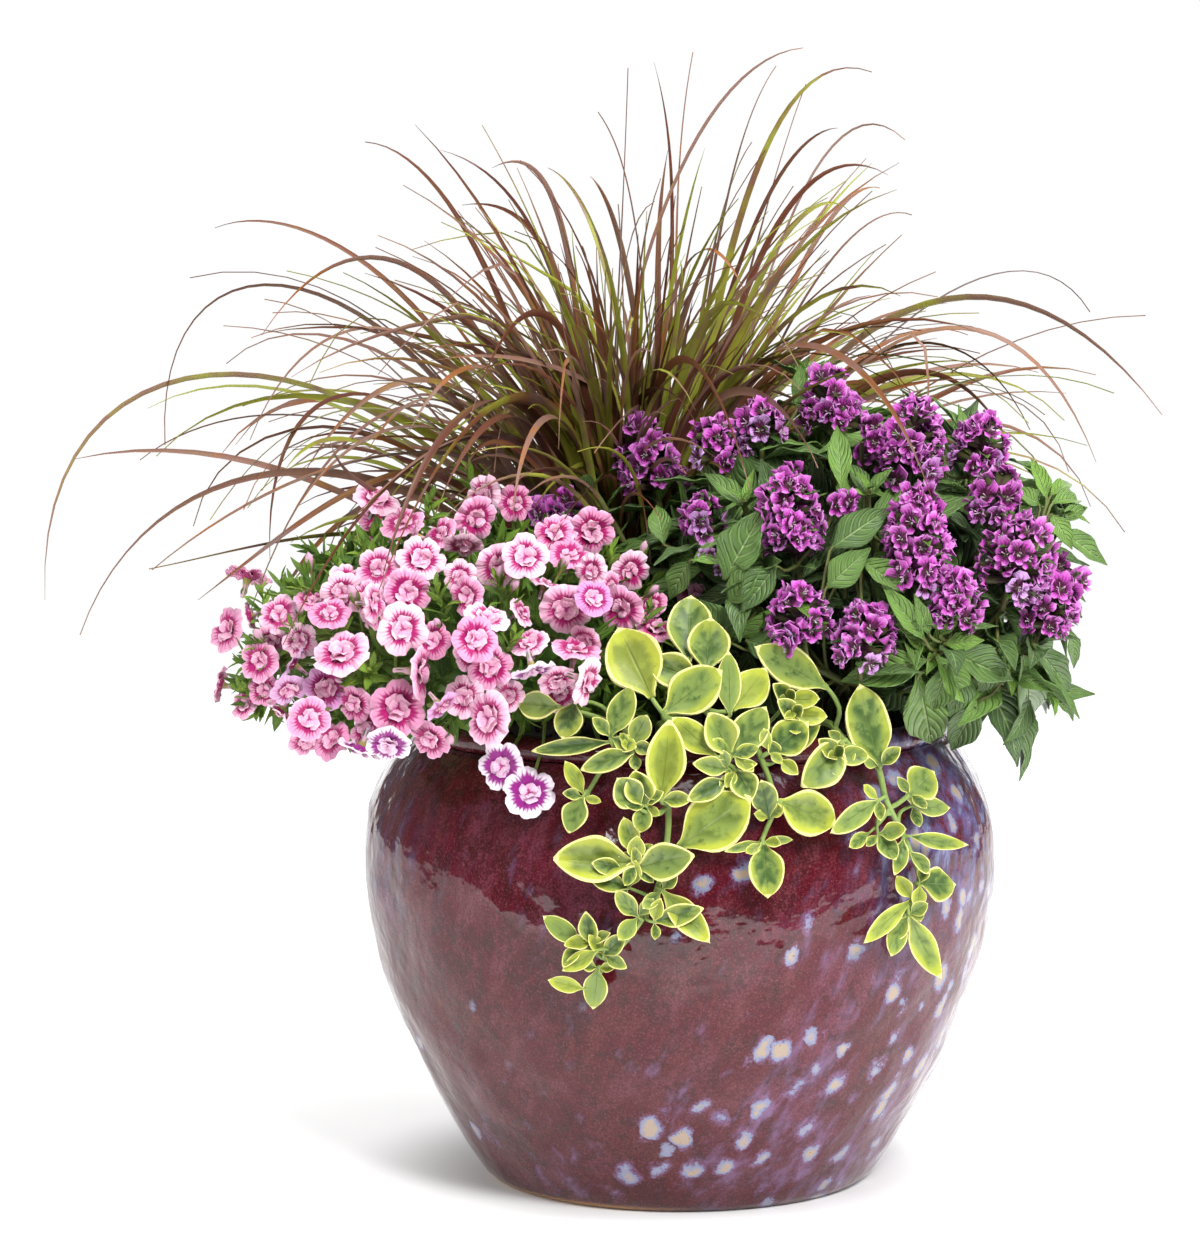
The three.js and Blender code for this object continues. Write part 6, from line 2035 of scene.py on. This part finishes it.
    def _stem(self, index: int, leaves: list[tuple], moulds: list[Mould],
              finishes: list[bpy.types.Material]) -> bpy.types.Object:
        """Builds one plant stem: its trunk, a branch to each head and shoot, and its leaves."""
        row = CUPHEA_STEMS[index]
        draw = Draw(520 + index)
        heap = Heap()
        x, y = row.root[0] * MM, row.root[1] * MM
        ends = []
        for head in row.heads:
            middle, axis = self._stand(head)
            ends.append((middle - axis * (head[2] * PICTURE.grain / 2 + 0.0007), axis, False))
        tips = [self.mound.seen_at(sx, sy, 0.94) for sx, sy in row.shoots]
        tips += [self.mound.beyond(direction, 0.86) for direction in row.far_shoots]
        ends += [(end, unit(normal + UP * 0.7), True) for end, normal in tips]
        middle = np.mean([end for end, _, _ in ends], axis=0)
        fork = mix(vec(x, y, 0.295), middle, 0.4)
        foot = [vec(x, y, SOCKET), vec(x, y, 0.269), vec(x, y, 0.291), fork]
        heap.stem(foot, self.root_radius, self.fork_radius, 1, 8, 8)
        spots: list[list[Spot]] = [[] for _ in moulds]
        paths = []
        for end, axis, is_shoot in ends:
            below = end - axis * 0.012
            knots = [fork, mix(fork, below, 0.5), below, end]
            path = heap.stem(knots, self.branch_radius, self.stem_radius, 1, 12, 6)
            paths.append(path)
            self._whorls(spots, path, axis, is_shoot, draw)
        branches = np.concatenate(paths)
        for leaf in leaves:
            self._lone_leaf(heap, spots, branches, leaf, draw)
        heap.cast_each(moulds, spots)
        piece = heap.build(f"cuphea_branches_{index + 1}", finishes)
        return settle(piece, Slot.CUPHEA_LEAF, f"cuphea_stem_{index + 1}")

    def _whorls(self, spots: list[list[Spot]], path: Array, axis: Array, is_shoot: bool, draw: Draw) -> None:
        """Sets opposite pairs of leaves up a branch, small and young at a shoot's tip."""
        side, front = square_to(axis)
        first = draw(0, math.pi)
        whorls = self.shoot_whorls if is_shoot else self.head_whorls
        for count, (t, share) in enumerate(whorls):
            base = path[int(t * (len(path) - 1))]
            for flip in (0, math.pi):
                turn = first + count * 1.4 + flip + draw(-0.2, 0.2)
                out = side * math.cos(turn) + front * math.sin(turn)
                size = self.leaf_length * share * draw(0.85, 1.15)
                tip = base + unit(out + axis * 0.2) * size
                if self._hides_dew(base, tip):
                    continue
                if self._in_head(mix(base, tip, 0.7)) or PICTURE.place_of(tip)[0] > self.right_edge:
                    size *= 0.6
                lift = mix(1.6, 0.2, share)
                young = 1 - share if is_shoot else 0.2 * (1 - share)
                spot = Spot(base, out + axis * lift, axis, size, size * draw(0.3, 0.38), draw(-0.9, -0.1),
                            draw(), min(young + draw(0, 0.25), 1))
                draw.pick(spots).append(spot)

    @staticmethod
    def _lone_leaf(heap: Heap, spots: list[list[Spot]], branches: Array, leaf: tuple, draw: Draw) -> None:
        """Sets one laid-out leaf, on a twig from the nearest branch."""
        base, tip, facing, width, tint, tone = leaf
        run = tip - base
        length = float(np.linalg.norm(run))
        draw.pick(spots).append(Spot(base, run, facing, length, width, draw(-0.5, 0.1), tint, tone))
        near = nearest(branches, base)
        gap = float(np.linalg.norm(near - base))
        if gap > 0.004:
            bend = mix(near, base, 0.55) - UP * min(gap * 0.15, 0.008)
            heap.stem([near, bend, base, base + run * 0.05], 0.0013, 0.0008, 1, 7, 5)


LongBlade = tuple[float, float, float, float, float, float, float, float]

# Outlying blades: two control points, the tip, how far the tip lies forward, and the width
LONG_BLADES: tuple[LongBlade, ...] = (
    (470, 250, 150, 170, 165, 445, 40, 6), (480, 330, 30, 250, 45, 600, 60, 5),
    (480, 420, 160, 400, 80, 635, 110, 6), (590, 360, 320, 430, 152, 570, 140, 10),
    (480, 380, 240, 380, 140, 460, 30, 4), (560, 420, 470, 150, 365, 142, 10, 7),
    (600, 380, 560, 180, 440, 150, -30, 4), (620, 420, 560, 260, 482, 125, 20, 3),
    (610, 480, 622, 250, 628, 68, 20, 6), (590, 360, 680, 60, 803, 48, 10, 7),
    (690, 420, 740, 20, 872, 72, -20, 5), (700, 480, 760, 200, 806, 84, -30, 5),
    (720, 440, 800, 40, 905, 140, 10, 6), (700, 360, 780, 110, 888, 175, 40, 5),
    (690, 480, 660, 220, 693, 52, 0, 4), (780, 380, 1010, 180, 1090, 312, -20, 6),
    (760, 330, 980, 170, 1162, 415, 30, 8), (790, 330, 1000, 210, 1096, 462, 60, 6),
    (680, 300, 850, 250, 932, 498, 230, 7), (630, 280, 700, 300, 750, 490, 240, 6),
    (660, 330, 770, 350, 818, 468, 190, 7), (600, 290, 470, 350, 379, 590, 250, 10),
    (580, 300, 440, 350, 383, 575, 220, 9), (600, 340, 520, 380, 513, 520, 200, 6),
    (590, 330, 400, 390, 283, 645, 230, 8), (500, 270, 330, 380, 250, 612, 120, 7),
    (500, 330, 330, 500, 198, 600, 110, 6), (800, 360, 940, 300, 1012, 450, 60, 6),
    (800, 300, 960, 280, 1030, 430, 40, 5), (480, 350, 260, 300, 270, 560, 60, 6),
)
# Lighter blades between them, in the same way
LOOSE_BLADES: tuple[LongBlade, ...] = (
    (470, 470, 300, 540, 149, 569, 120, 7), (500, 300, 310, 190, 215, 228, -20, 4),
    (520, 260, 370, 170, 262, 335, 30, 5), (520, 300, 330, 240, 250, 440, 60, 5),
    (540, 360, 400, 300, 300, 480, 90, 6), (540, 400, 380, 360, 290, 520, 120, 6),
    (560, 350, 470, 300, 405, 440, 150, 6), (600, 300, 550, 190, 462, 205, 20, 5),
    (590, 250, 560, 130, 492, 168, 0, 5), (760, 420, 880, 300, 968, 335, 0, 5),
    (740, 360, 850, 190, 912, 215, -10, 5), (790, 420, 940, 330, 1045, 415, 20, 5),
    (700, 330, 800, 160, 850, 212, -20, 5), (700, 300, 730, 130, 776, 66, -10, 5),
    (650, 300, 640, 170, 598, 112, 10, 5), (660, 300, 690, 190, 654, 62, 0, 3),
    (430, 440, 330, 400, 285, 470, 130, 6), (450, 470, 350, 520, 330, 440, 150, 5),
    (610, 260, 520, 240, 470, 420, 160, 6), (520, 420, 430, 330, 366, 455, 170, 6),
    (640, 260, 700, 180, 748, 300, 100, 5), (560, 380, 500, 360, 440, 500, 210, 7),
    (570, 400, 480, 380, 352, 520, 190, 7), (500, 380, 330, 330, 210, 520, 60, 5),
    (690, 340, 770, 130, 838, 128, 90, 5), (640, 340, 600, 190, 548, 168, -100, 5),
    (690, 340, 716, 190, 752, 142, -110, 5), (650, 300, 616, 200, 590, 176, 100, 5),
    (740, 360, 830, 170, 880, 188, -80, 5), (660, 360, 650, 240, 668, 150, -60, 5),
)


# A blade's keeled section, and the steps by which turns and leans fill their ranges evenly
KEELED = np.array([[-1, 0.9], [0, -1.0], [1, 0.9], [0, -0.3]])
TURN_STEP = 0.5698403
LEAN_STEP = 0.7548777


@dataclass
class Grass:
    """The purple fountain grass: a dense clump of long keeled blades that arch out."""

    crown: Triple = (-0.030, 0.062, 0.262)
    crown_radius: float = 0.034
    crown_rise: float = 0.030
    root_radius: float = 0.020
    soil_top: float = 0.266
    sheaths: int = 130
    solid_blades: int = 34
    fine_blades: int = 500
    stations: int = 20
    broad: float = 8
    far_forward: float = 150
    thinnest: float = 0.0003
    back_from: float = 0.3
    back_share: float = 0.85
    snapped: float = 0.14
    low: Triple = (-0.380, -0.200, 0.0)
    high: Triple = (0.286, 0.314, 0.684)

    def blade(self, heap: Heap, path: Array, width: float, inward: Array, shade: Draw,
              least: float = 0.0) -> None:
        """Sweeps one keeled blade that twists and tapers to a hair."""
        t = np.linspace(0, 1, len(path))
        half = width / 2 * np.where(t < 0.1, 0.5 + 5 * t, 1.0) * np.clip(1 - t**3, 0.04, 1)
        scale = np.stack([half, np.maximum(half * 0.22, self.thinnest)], 1)
        heap.sweep(path, KEELED, scale, inward, 0, shade(least), shade(), shade(-1.2, 1.2), shade(-1.6, 1.6))

    def build(self) -> bpy.types.Object:
        """Grows the whole clump.

        Returns:
            The grass.
        """
        heap = Heap()
        form, shade = Draw(177), Draw(77)
        crown = np.array(self.crown)
        top = self.soil_top + self.crown_rise
        self._clump(heap, crown, top, shade)
        for row in LONG_BLADES + LOOSE_BLADES:
            self._long(heap, crown, top, row, shade)
        for i in range(self.fine_blades):
            self._fine(heap, crown, top, i, form, shade)
        piece = heap.build("fountain_grass_clump", [Blade().make()])
        return settle(piece, Slot.GRASS, "fountain_grass")

    def _clump(self, heap: Heap, crown: Array, top: float, draw: Draw) -> None:
        """Packs short leaf sheaths into the crown."""
        foot, head = vec(crown[0], crown[1], SOCKET), vec(crown[0], crown[1], top)
        heap.stem([foot, foot + UP * 0.03, head], self.root_radius, 0.016, 0, 5, 16, 1.0)
        for i in range(self.sheaths):
            out = level(i * GOLDEN_TURN) * self.crown_radius * math.sqrt((i + 0.5) / self.sheaths)
            base = vec(crown[0], crown[1], self.soil_top - 0.004) + out * 0.62
            tip = head + UP * draw(0.03, 0.08) + out * draw(1.2, 2.2)
            heap.stem([base, mix(base, tip, 0.5), tip], 0.0022, 0.0006, 0, 5, 5, draw(0.4, 1), draw(0.2, 1))

    def _long(self, heap: Heap, crown: Array, top: float, row: LongBlade, shade: Draw) -> None:
        """Grows one of the outlying blades of the picture."""
        ax, ay, bx, by, tx, ty, forward, width = row
        depth = crown[1] - forward * MM
        first = PICTURE.at_depth(ax, ay, mix(crown[1], depth, 0.12))
        root = vec(crown[0], crown[1], top - 0.004)
        away = (first - root) * vec(1, 1, 0)
        root = root + unit(away) * self.crown_radius * 0.7
        second = PICTURE.at_depth(bx, by, mix(crown[1], depth, 0.6))
        tip = PICTURE.at_depth(tx, ty, depth)
        path = bezier([root, first, second, tip], self.stations + 10)
        inward = (root - tip) * vec(1, 1, 0)
        least = 0.55 if forward >= self.far_forward else 0.32
        self.blade(heap, path, width * MM, inward, shade, least if width < self.broad else 0.0)

    def _fine(self, heap: Heap, crown: Array, top: float, index: int, draw: Draw, shade: Draw) -> None:
        """Grows one blade by rule: it leans out at its root and bends further over towards its tip."""
        turn = 2 * math.pi * ((TURN_STEP * index + 0.3) % 1) + draw(-0.3, 0.3)
        lean = (LEAN_STEP * index + 0.1) % 1
        if math.sin(turn) < -self.back_from:
            lean *= 0.45
        reach = self.back_share if math.sin(turn) > self.back_from else 1
        length = (draw(0.19, 0.32) + 0.09 * lean) * reach
        start, bend = 3 + 46 * lean * draw(0.6, 1), (16 + 84 * lean) * draw(0.45, 1.25)
        width = draw(0.0035, 0.0062)
        swing = draw(-0.6, 0.6)
        power, kink, snap = 1.6, 2.0, 0.0
        if index >= self.solid_blades:
            length = shade(0.20, 0.36) * reach + 0.04 * lean
            start, bend = 2 + 40 * lean * shade(0.5, 1), shade(20, 85) + 80 * lean * shade(0.35, 1.1)
            swing = shade(-0.9, 0.9)
            power = shade(1.3, 2.6)
            if shade() < self.snapped:
                kink, snap = shade(0.5, 0.85), shade(30, 80)
        way = level(turn)
        root = vec(crown[0], crown[1], top - 0.002) + way * self.crown_radius * (0.1 + 0.6 * lean)
        s = np.linspace(0, 1, self.stations)
        tilt = np.radians(start + bend * s**power + snap * smooth(kink - 0.03, kink + 0.03, s))
        heading = turn + swing * s
        step = np.stack([np.sin(tilt) * np.cos(heading), np.sin(tilt) * np.sin(heading), np.cos(tilt)], -1)
        run = np.concatenate([np.zeros((1, 3)), np.cumsum((step[1:] + step[:-1]) / 2, axis=0)])
        run = run * length / (self.stations - 1)
        over = np.maximum(run / (np.array(self.high) - root), run / (np.array(self.low) - root))
        path = root + run / max(1, float(over.max()))
        self.blade(heap, path, width, -way, shade)


@dataclass(frozen=True)
class Lamp:
    """A soft box: where it stands, where it points, its size and its power."""

    name: str
    place: Triple
    aim: Triple
    size: Pair
    power: float
    is_mirrored: bool = True

    def light(self) -> None:
        """Hangs the lamp, out of the camera's sight."""
        deselect()
        bpy.ops.object.light_add(type="AREA", location=self.place)
        lamp = bpy.context.object
        lamp.name = self.name
        lamp.data.shape = "RECTANGLE"
        lamp.data.size, lamp.data.size_y = self.size
        lamp.data.energy = self.power
        lamp.visible_camera = False
        lamp.visible_glossy = self.is_mirrored
        towards = Vector(self.aim) - Vector(self.place)
        lamp.rotation_euler = towards.to_track_quat("-Z", "Y").to_euler()


@dataclass
class Studio:
    """The pale floor, the soft boxes, the surrounding light and the camera."""

    floor_front: float = -0.64
    floor_back: float = 2.6
    floor_side: float = 2.2
    back_light: float = 1.8
    front_light: float = 0.20
    light_change: Pair = (0.87, 0.93)
    white: Colour = (1.0, 1.0, 1.0)
    sensor: float = 36
    lamps: tuple[Lamp, ...] = (
        Lamp("left_box", (-1.9, -0.6, 1.0), (0, 0, 0.3), (1.0, 1.6), 16, False),
        Lamp("right_box", (1.9, -0.4, 1.0), (0, 0, 0.3), (1.0, 1.6), 22, False),
        Lamp("key_box", (1.0, -2.1, 2.0), (0, 0, 0.35), (1.0, 0.9), 92, False),
        Lamp("top_box", (0.3, -0.6, 2.4), (0, 0, 0.2), (1.4, 1.2), 30),
        Lamp("window", (-1.35, -2.2, 1.45), (0, 0, 0.3), (0.22, 0.42), 6),
    )

    def build(self) -> None:
        """Sets up the studio."""
        deselect()
        bpy.ops.mesh.primitive_plane_add(size=1)
        floor = bpy.context.object
        bpy.ops.object.mode_set(mode="EDIT")
        bpy.ops.mesh.select_all(action="SELECT")
        bpy.ops.transform.resize(value=(self.floor_side * 2, self.floor_back - self.floor_front, 1))
        middle = (self.floor_back + self.floor_front) / 2
        bpy.ops.transform.translate(value=(0, middle, 0))
        bpy.ops.object.mode_set(mode="OBJECT")
        floor.name = floor.data.name = "floor"
        floor.data.materials.append(Pale().make())
        floor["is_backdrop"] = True
        for lamp in self.lamps:
            lamp.light()
        self._surround()
        self._camera()

    def _surround(self) -> None:
        """A surround that shows white, and lights the planter from behind more than from the front."""
        bench = Bench("surround", "worlds")
        bpy.context.scene.world = bench.owner
        is_seen = Expr(bench, bench.node("ShaderNodeLightPath").outputs["Is Camera Ray"])
        _, _, depth, _ = bench.place("Generated")
        strength = depth.step(*self.light_change) * (self.back_light - self.front_light) + self.front_light
        cast = bench.value("ShaderNodeBackground", inputs={"Color": self.white, "Strength": strength})
        shown = bench.value("ShaderNodeBackground", inputs={"Color": self.white})
        either = bench.value("ShaderNodeMixShader", inputs={0: is_seen, 1: cast, 2: shown})
        bench.node("ShaderNodeOutputWorld", inputs={"Surface": either})

    def _camera(self) -> None:
        """Stands the camera at the picture's eye."""
        bpy.ops.object.camera_add(location=PICTURE.eye)
        camera = bpy.context.object
        camera.name = "eye"
        camera.data.sensor_width = self.sensor
        camera.data.lens = self.sensor * PICTURE.reach / (PICTURE.grain * PICTURE.tall)
        towards = Vector(PICTURE.aim) - Vector(PICTURE.eye)
        camera.rotation_euler = towards.to_track_quat("-Z", "Y").to_euler()
        bpy.context.scene.camera = camera
        bpy.context.scene.view_settings.view_transform = "Standard"


def main() -> None:
    """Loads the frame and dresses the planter."""
    logging.basicConfig(level=logging.INFO, format="%(message)s")
    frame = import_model()
    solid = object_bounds()
    pot = Pot()
    pot.build()
    Soil(pot).build()
    DewPlant(pot).build()
    Calibrachoa().build(frame["nodes"])
    Cuphea().build()
    Grass().build()
    Studio().build()
    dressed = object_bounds()
    sizes = {name: [list(corner) for corner in box] for name, box in (("cad", solid), ("visual", dressed))}
    shown = [item for item in bpy.data.objects if item.type == "MESH" and not item.hide_render]
    LOG.info("%d triangles", sum(len(face.vertices) - 2 for item in shown for face in item.data.polygons))
    LOG.info("solid box %s, dressed box %s", sizes["cad"], sizes["visual"])


if __name__ == "__main__":
    main()
